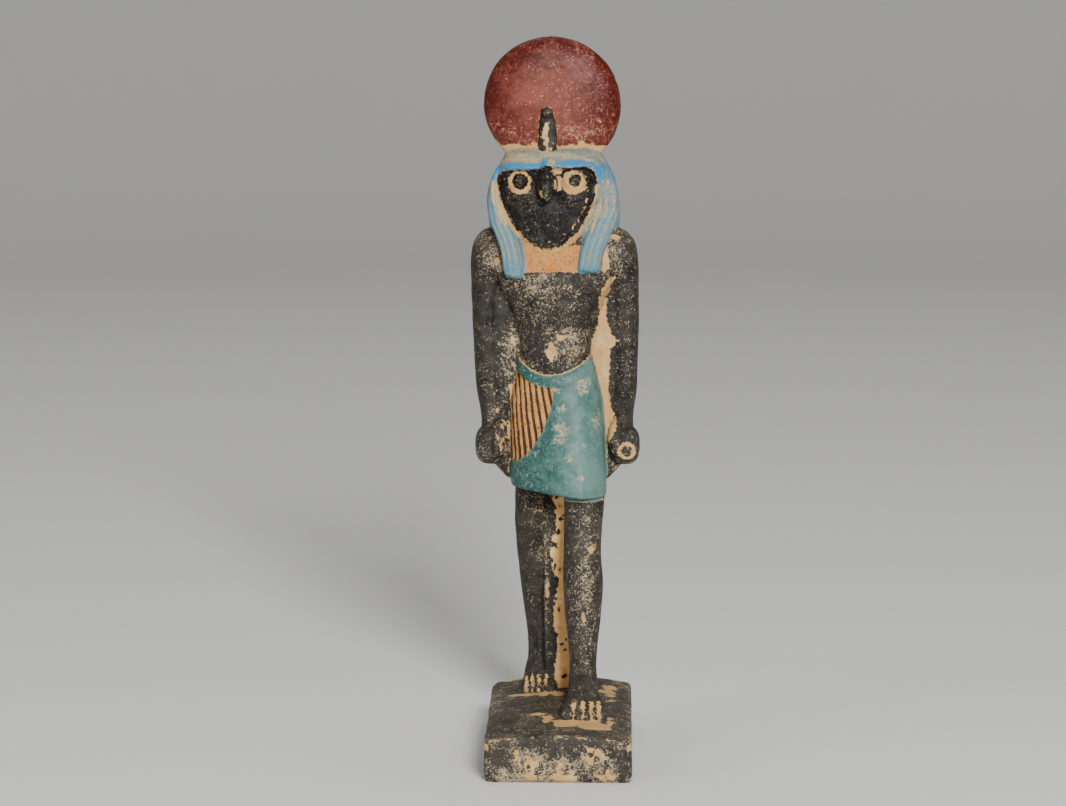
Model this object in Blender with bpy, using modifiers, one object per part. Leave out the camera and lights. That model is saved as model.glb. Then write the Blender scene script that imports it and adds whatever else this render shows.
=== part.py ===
"""A standing falcon-headed deity with a sun disc, one solid of painted faience with its own plinth.

Metres, +Z up. The figure faces -Y, and the origin is the middle of the plinth's underside.
The figure is drawn in millimetres on a body 170.5 mm tall, from the soles to the crown, with its
axis at x 0, y 0 and its soles at z 0. It is then scaled to BODY_HEIGHT and set on the plinth.
"""

import math

import bmesh
import bpy
import numpy as np
from mathutils import Matrix

# Driving sizes, in metres.
BODY_HEIGHT = 0.1705
PLINTH_WIDTH = 0.044
PLINTH_DEPTH = 0.080
PLINTH_HEIGHT = 0.0123
PLINTH_CROWN = 0.0022
PLINTH_ROUNDING = 0.0014
PLINTH_REAR_RISE = 0.0010
PLINTH_REAR_SWELL = 0.0007
DISC_RADIUS = 0.0211
DISC_THICKNESS = 0.0115
DISC_SINK = 0.0068
PILLAR_WIDTH = 0.015
PILLAR_BACK = 0.0165
PLINTH_BEHIND_PILLAR = 0.0005

# The figure leans a little to its right and turns its face the same way, as it was made by hand.
LEAN = math.radians(0.95)
FACE_TURN = math.radians(-5.5)

# How fine the solid is: the size of the fusing grid, in drawn millimetres, and the faces kept.
GRID = 0.62
FIGURE_TRIANGLES = 8600

DRAWN_HEIGHT = 170.5
SCALE = BODY_HEIGHT / DRAWN_HEIGHT
SIDES = 72
SOLE_SINK = 3.0
WEB_BACK = 12.0
DISC_Y = -1.0
EYE_HEIGHT = 161.3
EYE_SPREAD = 8.3
FACE_DEPTH = 1.7
PLEAT_PITCH = 2.1
STRAND_PITCH = 1.7


def clear_scene():
    for obj in list(bpy.data.objects):
        bpy.data.objects.remove(obj)


def smooth_through(rows, steps=4):
    """Rows of numbers made finer by a smooth curve through every one of them."""
    rows = np.array(rows, float)
    padded = np.vstack([2 * rows[0] - rows[1], rows, 2 * rows[-1] - rows[-2]])
    finer = []
    for before, start, end, after in zip(padded, padded[1:], padded[2:], padded[3:]):
        for t in np.arange(steps) / steps:
            finer.append(
                start
                + 0.5 * t * (end - before)
                + t**2 * (before - 2.5 * start + 2 * end - 0.5 * after)
                + 0.5 * t**3 * (3 * start - before - 3 * end + after)
            )
    return np.array(finer + [rows[-1]])


def ring_points(angle, row, along_x, along_y):
    """Points of one section: a rounded rectangle that is an ellipse when squareness is 2."""
    centre, half_width, half_depth, squareness = row[:3], row[3], row[4], row[5]
    cos, sin = np.cos(angle), np.sin(angle)
    reach = (np.abs(cos) ** squareness + np.abs(sin) ** squareness) ** (-1 / squareness)
    return (
        centre
        + np.outer(reach * cos * half_width, along_x)
        + np.outer(reach * sin * half_depth, along_y)
    )


def skin(rows, steps=4, section="level"):
    """A closed form through sections of x, y, z, half width, half depth and squareness.

    Its sections lie level, upright across the figure, or square to the path of their centres.
    """
    rows = smooth_through(rows, steps)
    bm = bmesh.new()
    bmesh.ops.create_circle(bm, cap_ends=True, segments=SIDES, radius=1)
    top = next(iter(bm.faces))
    for _ in rows[1:]:
        made = bmesh.ops.extrude_face_region(bm, geom=[top])["geom"]
        bmesh.ops.translate(bm, vec=(0, 0, 1), verts=[g for g in made if isinstance(g, bmesh.types.BMVert)])
        top = next(g for g in made if isinstance(g, bmesh.types.BMFace))
    paths = np.gradient(rows[:, :3], axis=0)
    across = np.array((1.0, 0.0, 0.0))
    for vert in bm.verts:
        row, path = rows[round(vert.co.z)], paths[round(vert.co.z)]
        if section == "level":
            other = np.array((0.0, 1.0, 0.0))
        elif section == "upright":
            other = np.array((0.0, 0.0, 1.0))
        else:
            other = np.cross(path / np.linalg.norm(path), across)
        angle = np.array([math.atan2(vert.co.y, vert.co.x)])
        vert.co = ring_points(angle, row, across, other)[0]
    bmesh.ops.recalc_face_normals(bm, faces=bm.faces)
    return bm


def ball(centre, radii):
    """An ellipsoid."""
    bm = bmesh.new()
    matrix = Matrix.Translation(centre) @ Matrix.Diagonal((*radii, 1))
    bmesh.ops.create_uvsphere(bm, u_segments=32, v_segments=20, radius=1, matrix=matrix)
    return bm


def block(low, high, rounding):
    """A box between two corners, with rounded edges."""
    bm = bmesh.new()
    size = [b - a for a, b in zip(low, high)]
    middle = [(a + b) / 2 for a, b in zip(low, high)]
    bmesh.ops.create_cube(bm, size=1, matrix=Matrix.Translation(middle) @ Matrix.Diagonal((*size, 1)))
    bmesh.ops.bevel(bm, geom=bm.edges[:], offset=rounding, segments=3, profile=0.5, affect="EDGES")
    return bm


def mirrored(bm):
    """A copy on the other side of the figure."""
    other = bm.copy()
    bmesh.ops.scale(other, vec=(-1, 1, 1), verts=other.verts)
    bmesh.ops.reverse_faces(other, faces=other.faces)
    return other


def torso():
    # x, y, z, half width, half depth, squareness
    trunk = skin([
        (0, 0.4, 151, 8.5, 7.0, 2.2),
        (0, 0.4, 149.4, 12.5, 8.0, 2.2),
        (0, 0.3, 147.4, 17.6, 9.2, 2.3),
        (0, 0.2, 144, 22.0, 10.4, 2.4),
        (0, 0.0, 139.5, 23.4, 11.4, 2.5),
        (0, -0.3, 134.5, 21.4, 12.2, 2.5),
        (0, -0.6, 130, 18.6, 12.8, 2.5),
        (0, -0.8, 124, 15.4, 12.6, 2.5),
        (0, -0.7, 118, 13.0, 12.0, 2.4),
        (0, -0.8, 112, 11.8, 11.6, 2.4),
        (0, -0.9, 107, 11.6, 11.6, 2.4),
        (0, -1.3, 101, 12.3, 12.2, 2.4),
        (0, -1.2, 96, 12.4, 12.0, 2.4),
    ])
    breasts = [ball((7.5 * side, -7.2, 131.5), (10.0, 6.1, 8.0)) for side in (-1, 1)]
    belly = ball((0, -7.8, 108.5), (9.6, 5.7, 9.0))
    return [trunk, *breasts, belly]


def arm():
    upper = skin([
        (17.6, 0.4, 146.8, 1.6, 2.0, 2.0),
        (18.6, 0.4, 145.6, 3.7, 4.6, 2.0),
        (19.9, 0.3, 142.4, 5.0, 7.0, 2.1),
        (20.8, 0.2, 137.6, 5.2, 7.8, 2.2),
        (21.4, 0.1, 132, 4.9, 7.2, 2.3),
        (21.6, 0.2, 122, 4.4, 6.5, 2.4),
        (21.3, 0.2, 110, 4.3, 6.0, 2.4),
        (20.9, -0.6, 98, 4.2, 5.6, 2.4),
        (20.0, -1.4, 87, 3.6, 4.9, 2.3),
        (20.2, -2.0, 80, 4.2, 5.0, 2.3),
    ])
    fist = skin([
        (20.5, 4.8, 80.2, 2.4, 2.8, 2.4),
        (20.7, 3.8, 79.6, 4.0, 4.6, 2.6),
        (20.9, 0.5, 79.0, 4.7, 5.6, 2.7),
        (20.9, -4.0, 78.8, 4.7, 5.8, 2.7),
        (20.7, -7.6, 79.2, 4.2, 5.2, 2.6),
        (20.6, -9.2, 79.6, 3.0, 3.9, 2.4),
    ], section="upright")
    thumb = skin([
        (18.6, -4.6, 86.4, 1.2, 1.4, 2),
        (18.2, -7.0, 85.0, 1.9, 1.9, 2),
        (18.0, -8.8, 81.4, 2.0, 2.0, 2),
        (18.2, -9.4, 78.0, 1.8, 1.7, 2),
        (18.5, -9.2, 75.9, 0.7, 0.7, 2),
    ], section="path")
    return [upper, fist, thumb]


def held_roll():
    """The end of the short roll in the left fist, a low ring on its front."""
    return skin([
        (21.6, -5.0, 77.9, 2.8, 2.8, 2),
        (21.6, -9.8, 77.9, 2.8, 2.8, 2),
        (21.6, -10.4, 77.9, 2.2, 2.2, 2),
    ], steps=2, section="upright")


def arm_webs():
    """The stone left between each arm and the body, which slopes in from the fist to the kilt."""
    return [
        skin([
            (15.8 * side, 1.6, 142, 5.0, 7.4, 4),
            (15.8 * side, 1.8, 120, 6.0, 7.0, 4),
            (15.8 * side, 1.6, 95, 6.4, 6.8, 4),
            (16.0 * side, 0.8, 80, 6.2, 7.0, 4),
            (15.4 * side, 0.4, 74, 5.2, 6.6, 3.4),
            (14.0 * side, 0.6, 68.6, 2.2, 5.4, 2.8),
        ], steps=3)
        for side in (-1, 1)
    ]


def kilt():
    """One wrapped cloth. The thigh that is put forward pulls its front out towards the hem."""
    cloth = skin([
        (0, -1.2, 106.5, 11.4, 11.3, 2.4),
        (0, -1.4, 101, 12.7, 12.6, 2.5),
        (-0.1, -1.6, 94, 14.1, 13.3, 2.7),
        (0, -1.8, 84, 14.7, 13.8, 2.9),
        (0.1, -2.0, 74, 14.9, 14.3, 3.0),
        (0.2, -2.1, 67.2, 14.9, 14.6, 3.0),
    ])
    for vert in cloth.verts:
        pulled = step_up(-14, 9, vert.co.x) * step_up(104, 64, vert.co.z)
        vert.co.y -= 4.0 * pulled * step_up(6, -6, vert.co.y)
        vert.co.z -= 2.6 * pulled
    return [cloth]


FORWARD_LEG = [
    (7.4, -6.6, 78, 6.3, 6.6, 2.2),
    (8.2, -10.2, 64, 6.2, 6.7, 2.2),
    (7.9, -13.0, 55, 5.9, 6.4, 2.2),
    (7.5, -15.2, 46, 5.75, 6.0, 2.2),
    (7.6, -17.0, 38, 6.0, 6.5, 2.2),
    (7.4, -19.0, 29, 5.5, 6.1, 2.2),
    (7.3, -21.4, 20, 4.6, 5.0, 2.2),
    (7.3, -23.2, 12.5, 4.2, 4.4, 2.2),
    (7.2, -24.2, 6, 4.6, 4.9, 2.3),
    (7.2, -24.6, 0, 4.8, 5.4, 2.5),
    (7.2, -24.6, -SOLE_SINK, 4.8, 5.4, 2.5),
]
REAR_LEG = [
    (-7.4, 1.0, 76, 5.6, 6.6, 2.2),
    (-8.2, 2.4, 64, 5.4, 6.4, 2.2),
    (-8.2, 3.4, 54, 5.7, 6.2, 2.2),
    (-8.0, 5.0, 46, 5.6, 5.8, 2.2),
    (-7.7, 6.4, 38, 5.4, 6.2, 2.2),
    (-7.3, 8.2, 29, 4.8, 5.7, 2.2),
    (-6.9, 10.2, 18, 4.1, 4.7, 2.2),
    (-6.9, 11.2, 11, 3.9, 4.3, 2.2),
    (-7.1, 11.4, 5, 4.1, 4.6, 2.3),
    (-7.1, 11.4, 0, 4.3, 5.0, 2.5),
    (-7.1, 11.4, -SOLE_SINK, 4.3, 5.0, 2.5),
]


def legs():
    knees = [ball((7.8, -15.8, 56.5), (4.2, 3.8, 4.6)), ball((-8.6, 0.4, 55), (4.0, 3.6, 4.6))]
    return [skin(FORWARD_LEG), skin(REAR_LEG), *knees]


def foot(inner, ankle, width, length):
    """A foot that points forward, with five toes. inner is +1 where its big toe is towards +X."""
    x, y = ankle
    top = skin([
        (x, y + 5.2, 2.6, 2.6, 3.2, 2.3),
        (x, y + 4.2, 2.8, 3.8, 5.6, 2.4),
        (x, y, 3.4, 4.4, 8.0, 2.3),
        (x, y - 4.5, 2.6, 4.8, 8.0, 2.2),
        (x, y - 0.42 * length, 1.2, 0.46 * width, 6.2, 2.3),
        (x, y - 0.58 * length, 0.4, 0.49 * width, 4.2, 2.6),
        (x, y - 0.66 * length, 0.0, 0.46 * width, 2.6, 2.6),
    ], section="upright")
    made = [top]
    shares = (0.29, 0.2, 0.185, 0.17, 0.155)
    reaches = (0.80, 0.795, 0.765, 0.725, 0.67)
    edge = inner * width / 2
    for share, reach in zip(shares, reaches):
        half = share * width / 2
        middle = x + edge - inner * half
        edge -= inner * share * width
        tip = y - reach * length
        toe = skin([
            (middle, y - 0.5 * length, 1.6, half * 0.8, 2.6, 2.2),
            (middle, tip + 3.0, 1.2, half * 0.97, 2.4, 2.3),
            (middle, tip + 1.2, 0.9, half * 0.95, 2.1, 2.3),
            (middle, tip + 0.3, 0.6, half * 0.65, 1.5, 2.2),
            (middle, tip, 0.4, half * 0.2, 0.6, 2.0),
        ], steps=3, section="upright")
        made.append(toe)
    return made


def leg_webs():
    """The stone left between the legs, and behind the forward leg back to the pillar."""
    between = block((-5.0, -1.5, -SOLE_SINK), (4.5, WEB_BACK, 80), rounding=1.0)
    behind = [
        (x, (y + WEB_BACK) / 2, z, 3.4, (WEB_BACK - y) / 2, 8) for x, y, z, *_ in FORWARD_LEG
    ]
    return [between, skin(behind, steps=2)]


def pillar():
    half = PILLAR_WIDTH / SCALE / 2
    return block((-half, 4, -SOLE_SINK), (half, PILLAR_BACK / SCALE, 137), rounding=0.9)


HOOD = [
    (0, 0.4, 171.2, 12.4, 8.6, 2.4),
    (0, 0.3, 170.4, 14.4, 11.0, 2.5),
    (0, 0.1, 168.4, 15.8, 13.8, 2.6),
    (0, 0.0, 166.0, 17.1, 15.8, 2.8),
    (0, 0.2, 163.0, 18.5, 15.8, 2.9),
    (0, 0.6, 160.0, 19.5, 15.2, 2.9),
    (0, 1.4, 155.0, 20.2, 14.4, 2.8),
    (0, 2.6, 150.0, 20.4, 13.4, 2.7),
    (0, 4.2, 145.0, 19.6, 12.0, 2.8),
    (0, 5.6, 138.0, 17.4, 10.8, 3.0),
    (0, 6.8, 132.5, 15.8, 9.6, 3.2),
    (0, 7.2, 131.4, 14.6, 8.8, 3.2),
]
# The two flaps over the chest, which a hand cut a little unlike.
RIGHT_FLAP = [
    (-15.6, -4.6, 166, 1.6, 4.0, 2.2),
    (-17.0, -5.4, 162, 2.4, 4.6, 2.3),
    (-17.6, -6.4, 158, 2.7, 4.7, 2.4),
    (-17.2, -7.4, 153, 3.3, 4.6, 2.4),
    (-16.2, -8.6, 148.4, 3.7, 4.2, 2.5),
    (-14.5, -10.0, 144.6, 3.7, 3.8, 2.6),
    (-13.2, -11.2, 140.2, 3.6, 3.4, 2.8),
    (-12.6, -12.0, 135.6, 3.4, 2.9, 2.8),
    (-12.4, -12.0, 132.8, 2.8, 2.6, 2.6),
    (-12.4, -12.0, 132.0, 2.0, 1.8, 2.6),
]
LEFT_FLAP = [
    (15.4, -4.6, 166, 1.6, 4.0, 2.2),
    (16.8, -5.4, 162, 2.4, 4.6, 2.3),
    (17.3, -6.4, 158, 2.8, 4.7, 2.4),
    (16.9, -7.4, 153, 3.7, 4.6, 2.4),
    (15.0, -8.6, 148.6, 4.4, 4.2, 2.5),
    (13.4, -10.0, 144.8, 4.1, 3.8, 2.6),
    (11.9, -11.2, 140.6, 3.7, 3.4, 2.8),
    (11.1, -12.0, 136.6, 3.5, 2.9, 3.2),
    (10.8, -12.1, 134.6, 3.5, 2.7, 3.8),
    (10.8, -12.1, 133.8, 3.1, 2.0, 3.8),
]


def wig():
    return [skin(HOOD), skin(RIGHT_FLAP), skin(LEFT_FLAP)]


def face():
    """The falcon's head within the wig: cheeks, eyes, hooked beak and the dark bib of its throat."""
    bib = skin([
        (0, -4.0, 164, 14.5, 11.4, 2.5),
        (0, -4.2, 158, 15.8, 11.6, 2.5),
        (0, -4.2, 154, 15.6, 11.1, 2.5),
        (0, -4.0, 150, 14.2, 10.6, 2.5),
        (-0.4, -3.8, 146, 12.4, 10.2, 2.5),
        (-0.6, -3.6, 143, 10.0, 9.9, 2.4),
        (-0.6, -3.4, 141.2, 7.4, 9.5, 2.3),
        (-0.6, -3.2, 140.2, 4.6, 8.9, 2.2),
    ])
    cheeks = [ball((7.6 * side, -10.6, 158.4), (8.2, 6.6, 6.2)) for side in (-1, 1)]
    eyes = [ball((EYE_SPREAD * side - 0.4, -14.0, EYE_HEIGHT), (4.2, 3.9, 3.6)) for side in (-1, 1)]
    pupils = [
        ball((EYE_SPREAD * side - 0.2, -16.2, EYE_HEIGHT + 0.5), (2.2, 2.1, 2.2)) for side in (-1, 1)
    ]
    beak = skin([
        (0, -14.4, 168.0, 1.3, 2.6, 2),
        (0, -15.2, 166.6, 2.0, 3.6, 2),
        (0, -15.6, 164.6, 2.6, 4.9, 2),
        (0, -16.0, 161.9, 3.2, 5.9, 2),
        (0, -16.6, 159.8, 3.2, 6.0, 2),
        (0, -17.8, 158.2, 2.4, 4.6, 2),
        (0, -19.8, 156.8, 1.4, 2.1, 2),
        (0, -20.4, 156.0, 0.5, 0.7, 2),
    ])
    made = [bib, *cheeks, *eyes, *pupils, beak]
    for bm in made:
        bmesh.ops.transform(bm, matrix=Matrix.Rotation(FACE_TURN, 4, "Z"), verts=bm.verts)
    return made


def sun_disc():
    """A turned lens with a blunt rim, sunk into the crown."""
    radius = DISC_RADIUS / SCALE
    half = DISC_THICKNESS / SCALE / 2
    bm = bmesh.new()
    profile = []
    for turn in np.linspace(0, math.pi, 33):
        share = math.sin(turn)
        bulge = math.copysign(half * (1 - share**3) ** (1 / 2.2), -math.cos(turn))
        profile.append(bm.verts.new((radius * share, bulge, 0)))
    edges = [bm.edges.new(pair) for pair in zip(profile, profile[1:])]
    bmesh.ops.spin(
        bm, geom=profile + edges, cent=(0, 0, 0), axis=(0, 1, 0), angle=math.tau, steps=64, use_merge=True
    )
    bmesh.ops.remove_doubles(bm, verts=bm.verts, dist=1e-4)
    bmesh.ops.recalc_face_normals(bm, faces=bm.faces)
    height = DRAWN_HEIGHT + radius - DISC_SINK / SCALE
    bmesh.ops.translate(bm, vec=(0, DISC_Y, height), verts=bm.verts)
    return bm


def uraeus():
    """The small rearing cobra on the crown, its hood against the disc."""
    front = DISC_Y - DISC_THICKNESS / SCALE / 2
    hood = skin([
        (-1.3, front - 2.4, 169.0, 2.3, 1.6, 2.4),
        (-1.3, front - 1.5, 171.0, 2.6, 1.6, 2.6),
        (-1.4, front - 0.7, 175.0, 2.7, 1.6, 2.6),
        (-1.5, front - 0.5, 179.5, 2.4, 1.6, 2.6),
        (-1.6, front - 0.6, 182.4, 1.8, 1.5, 2.4),
    ], section="path")
    head = ball((-1.7, front - 1.5, 182.6), (1.9, 2.2, 1.6))
    return [hood, head]


def fused(shapes, grid):
    """The shapes joined on a fine grid into one closed skin, in drawn millimetres."""
    whole = bmesh.new()
    for bm in shapes:
        piece = bpy.data.meshes.new("piece")
        bm.to_mesh(piece)
        bm.free()
        whole.from_mesh(piece)
        bpy.data.meshes.remove(piece)
    mesh = bpy.data.meshes.new("clay")
    whole.to_mesh(mesh)
    whole.free()
    clay = bpy.data.objects.new("clay", mesh)
    bpy.context.scene.collection.objects.link(clay)
    remesh = clay.modifiers.new("fuse", "REMESH")
    remesh.mode = "VOXEL"
    remesh.voxel_size = grid
    ease = clay.modifiers.new("ease", "SMOOTH")
    ease.factor = 0.5
    ease.iterations = 3
    graph = bpy.context.evaluated_depsgraph_get()
    skin_mesh = bpy.data.meshes.new_from_object(clay.evaluated_get(graph))
    bpy.data.objects.remove(clay)
    return skin_mesh


def step_up(low, high, value):
    """0 at low, 1 at high, and a smooth rise between them."""
    t = np.clip((value - low) / (high - low), 0, 1)
    return t * t * (3 - 2 * t)


def on_form(points, rows):
    """How near each point is to a level skin: 1 on its surface, less within it."""
    x, y, z = points.T
    rows = np.array(sorted(rows, key=lambda row: row[2]), float)
    middle_x, middle_y, half_width, half_depth, squareness = (
        np.interp(z, rows[:, 2], rows[:, column]) for column in (0, 1, 3, 4, 5)
    )
    across, deep = np.abs(x - middle_x) / half_width, np.abs(y - middle_y) / half_depth
    gauge = (across**squareness + deep**squareness) ** (1 / squareness)
    return np.where((z > rows[0, 2] - 1) & (z < rows[-1, 2] + 1), gauge, 9.0), x - middle_x


def belt_edges(x):
    """The height of the belt's upper and lower edge, which dip under the belly."""
    side = np.minimum(np.abs(x + 2.2) / np.where(x < -2.2, 10.2, 13.2), 1)
    return 101.9 + 5.6 * side**2, 98.2 + 4.9 * side**2


def pleat_reach(x, z):
    """Over 0 inside the pleated panel at the figure's right hip, in millimetres from its edge."""
    across = np.clip((x + 14.0) / 13.3, 0, None)
    down = np.clip((97.5 - z) / 22.6, 0, None)
    return 12 * (1 - (across**1.6 + down**1.6) ** (1 / 1.6))


def pleat_run(x, z):
    """Millimetres across the pleats, which fan out a little from the hip."""
    fan = 0.02 + 0.0135 * np.clip(x + 14, 0, 14)
    return 16 * np.arcsin(np.clip((x - fan * (97 - z)) / 16, -1, 1))


def face_edge(x, z):
    """Over 0 inside the wig's opening round the face and bib, in millimetres from its edge."""
    across = np.abs(x + 1.9) / 15.4
    down = np.clip((161.5 - z) / 21.3, 0, None)
    sides = 15.4 * (1 - (across**1.75 + down**1.75) ** (1 / 1.75))
    brow = 165.9 + 0.045 * x - z
    brow += 0.9 * np.exp(-(((x + 1.7) / 1.8) ** 4))
    rounding = 4.0
    blend = np.clip(0.5 + 0.5 * (brow - sides) / rounding, 0, 1)
    return brow + (sides - brow) * blend - rounding * blend * (1 - blend)


def carving(points, normals):
    """How far each point moves out along its normal, in drawn millimetres."""
    x, y, z = points.T
    front = step_up(0.1, 0.45, -normals[:, 1])
    upper, lower = belt_edges(x)
    clear_of_webs = np.maximum(step_up(-4.9, -5.6, y), step_up(8.2, 8.9, y) * (y < WEB_BACK - 0.4))
    on_kilt = clear_of_webs * (z > 63.5) * (np.abs(x) < 16.2) * step_up(-0.2, 0.2, upper - z)
    on_belt = clear_of_webs * step_up(-0.3, 0.3, upper - z) * step_up(-0.3, 0.3, z - lower)
    on_belt = on_belt * (np.abs(x) < 13)
    moved = 0.6 * on_belt

    pleats = pleat_reach(x, z)
    panel = on_kilt * (1 - on_belt) * front
    moved += 0.45 * panel * step_up(0.3, -0.3, pleats)
    groove = step_up(0.25, 0.85, np.cos(math.tau * pleat_run(x, z) / PLEAT_PITCH))
    moved -= 0.55 * panel * step_up(0.2, 0.8, pleats) * groove

    navel = np.hypot((x + 1.4) / 1.3, (z - 108.6) / 2.6)
    moved -= 0.8 * front * step_up(1.0, 0.3, navel)
    breast_line = np.exp(-(((z - 124.8 - 0.012 * x**2) / 0.9) ** 2)) * (np.abs(x) < 15)
    moved -= 0.18 * front * breast_line

    face = face_edge(x, z)
    rim = step_up(156, 163, z) * step_up(-2.6, -1.8, face) * step_up(0.3, -0.3, face)
    moved += 0.5 * front * rim
    collar = step_up(-0.3, 0.3, z - 134.2) * (np.abs(x) < 9.5) * (z < 142) * step_up(0.3, -0.3, face)
    moved += 0.3 * collar * front
    for rows in (RIGHT_FLAP, LEFT_FLAP):
        gauge, across = on_form(points, rows)
        on_flap = step_up(0.16, 0.08, np.abs(gauge - 1)) * step_up(133.6, 134.8, z)
        strands = 0.5 + 0.5 * np.cos(math.tau * (across + 0.4) / STRAND_PITCH)
        moved -= 0.4 * on_flap * front * strands * step_up(166, 160, z) * step_up(0.6, -0.6, face)
    return moved


def carve(mesh):
    """Cuts the relief, sets the face back in the wig's opening and leans the figure."""
    count = len(mesh.vertices)
    points = np.empty(count * 3, np.float32)
    normals = np.empty(count * 3, np.float32)
    mesh.vertices.foreach_get("co", points)
    mesh.vertices.foreach_get("normal", normals)
    points, normals = points.reshape(-1, 3).astype(float), normals.reshape(-1, 3).astype(float)
    x, y, z = points.T
    opening = step_up(-0.2, 0.9, face_edge(x, z)) * step_up(151, 159, z) * (y < -3)
    points += normals * carving(points, normals)[:, None]
    points[:, 1] += FACE_DEPTH * opening
    points[:, 0] -= math.tan(LEAN) * points[:, 2]
    mesh.vertices.foreach_set("co", points.astype(np.float32).ravel())
    mesh.update()


def plinth(collection):
    """The block under the feet: rounded, its top a little higher along its middle and at its rear."""
    bm = bmesh.new()
    size = Matrix.Diagonal((PLINTH_WIDTH, PLINTH_DEPTH, PLINTH_HEIGHT, 1))
    bmesh.ops.create_cube(bm, size=1, matrix=Matrix.Translation((0, 0, PLINTH_HEIGHT / 2)) @ size)
    for axis, cuts in ((0, 11), (1, 3)):
        along = [e for e in bm.edges if abs((e.verts[0].co - e.verts[1].co)[axis]) > PLINTH_WIDTH / 2]
        bmesh.ops.subdivide_edges(bm, edges=along, cuts=cuts, use_grid_fill=True)
    for vert in bm.verts:
        across = 2 * vert.co.x / PLINTH_WIDTH
        rear = step_up(0.005, 0.036, vert.co.y)
        if vert.co.z > PLINTH_HEIGHT / 2:
            vert.co.z += PLINTH_CROWN * (1 - across**2) + PLINTH_REAR_RISE * rear
        vert.co.x += PLINTH_REAR_SWELL * rear * min(across, 0)
    mesh = bpy.data.meshes.new("plinth")
    bm.to_mesh(mesh)
    bm.free()
    obj = bpy.data.objects.new("plinth", mesh)
    collection.objects.link(obj)
    rounding = obj.modifiers.new("rounding", "BEVEL")
    rounding.width = PLINTH_ROUNDING
    rounding.segments = 3
    rounding.limit_method = "ANGLE"
    rounding.angle_limit = math.radians(50)
    obj.hide_render = True
    obj.display_type = "WIRE"
    return obj


def paint():
    material = bpy.data.materials.new("black_paint_on_faience")
    material.use_nodes = True
    shader = material.node_tree.nodes["Principled BSDF"]
    shader.inputs["Base Color"].default_value = (0.075, 0.07, 0.065, 1)
    shader.inputs["Roughness"].default_value = 0.8
    shader.inputs["Metallic"].default_value = 0.0
    return material


def figure_shapes():
    both_arms = arm()
    both_arms += [mirrored(bm) for bm in both_arms]
    return [
        *torso(), *both_arms, held_roll(), *arm_webs(), *kilt(), *legs(),
        *foot(-1, (7.4, -24.4), 13.9, 26.0), *foot(1, (-7.1, 11.4), 11.2, 22.0),
        *leg_webs(), pillar(), *wig(), *face(), sun_disc(), *uraeus(),
    ]


def place(mesh):
    """Sets the drawn figure on the plinth, its pillar at the plinth's rear edge, at its real size."""
    body_y = PLINTH_DEPTH / 2 - PLINTH_BEHIND_PILLAR - PILLAR_BACK
    mesh.transform(
        Matrix.Translation((0, body_y, PLINTH_HEIGHT + PLINTH_CROWN)) @ Matrix.Scale(SCALE, 4)
    )


def build():
    clear_scene()
    shown = bpy.data.collections.new("deity_figure")
    helpers = bpy.data.collections.new("helpers")
    for collection in (shown, helpers):
        bpy.context.scene.collection.children.link(collection)

    mesh = fused(figure_shapes(), GRID)
    carve(mesh)
    place(mesh)
    figure = bpy.data.objects.new("deity_figure", mesh)
    shown.objects.link(figure)
    mesh.materials.clear()
    mesh.materials.append(paint())

    mesh.calc_loop_triangles()
    thin = figure.modifiers.new("fewer_faces", "DECIMATE")
    thin.ratio = FIGURE_TRIANGLES / len(mesh.loop_triangles)
    thin.use_collapse_triangulate = True
    stand = figure.modifiers.new("on_its_plinth", "BOOLEAN")
    stand.operation = "UNION"
    stand.solver = "EXACT"
    stand.object = plinth(helpers)


build()
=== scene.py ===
"""The looks of a painted faience deity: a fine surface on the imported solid's form, and its paints.

The figure is drawn in millimetres as its solid is: soles at z 0, body axis at x 0, y 0, facing -Y.
Its forms are joined on a fine grid, carved with the relief, thinned, and then set in the frame.
"""

import math

import bmesh
import bpy
import numpy as np
from mathutils import Matrix, Vector
from mathutils.bvhtree import BVHTree


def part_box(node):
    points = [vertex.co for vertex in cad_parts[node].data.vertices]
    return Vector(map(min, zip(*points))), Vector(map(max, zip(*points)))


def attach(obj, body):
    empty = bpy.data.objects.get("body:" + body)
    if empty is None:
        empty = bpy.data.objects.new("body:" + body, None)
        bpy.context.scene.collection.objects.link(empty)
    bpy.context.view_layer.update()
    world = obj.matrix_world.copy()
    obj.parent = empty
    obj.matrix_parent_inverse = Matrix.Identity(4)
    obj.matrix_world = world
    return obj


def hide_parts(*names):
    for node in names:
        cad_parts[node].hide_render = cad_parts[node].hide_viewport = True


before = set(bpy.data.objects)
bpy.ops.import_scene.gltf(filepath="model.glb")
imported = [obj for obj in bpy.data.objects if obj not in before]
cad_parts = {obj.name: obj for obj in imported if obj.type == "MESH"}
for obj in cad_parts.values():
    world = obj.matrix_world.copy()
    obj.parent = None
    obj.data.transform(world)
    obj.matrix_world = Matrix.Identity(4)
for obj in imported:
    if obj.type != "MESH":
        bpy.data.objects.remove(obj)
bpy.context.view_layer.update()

solid_low, solid_high = (Vector(corner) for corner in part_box("deity_figure"))

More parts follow.
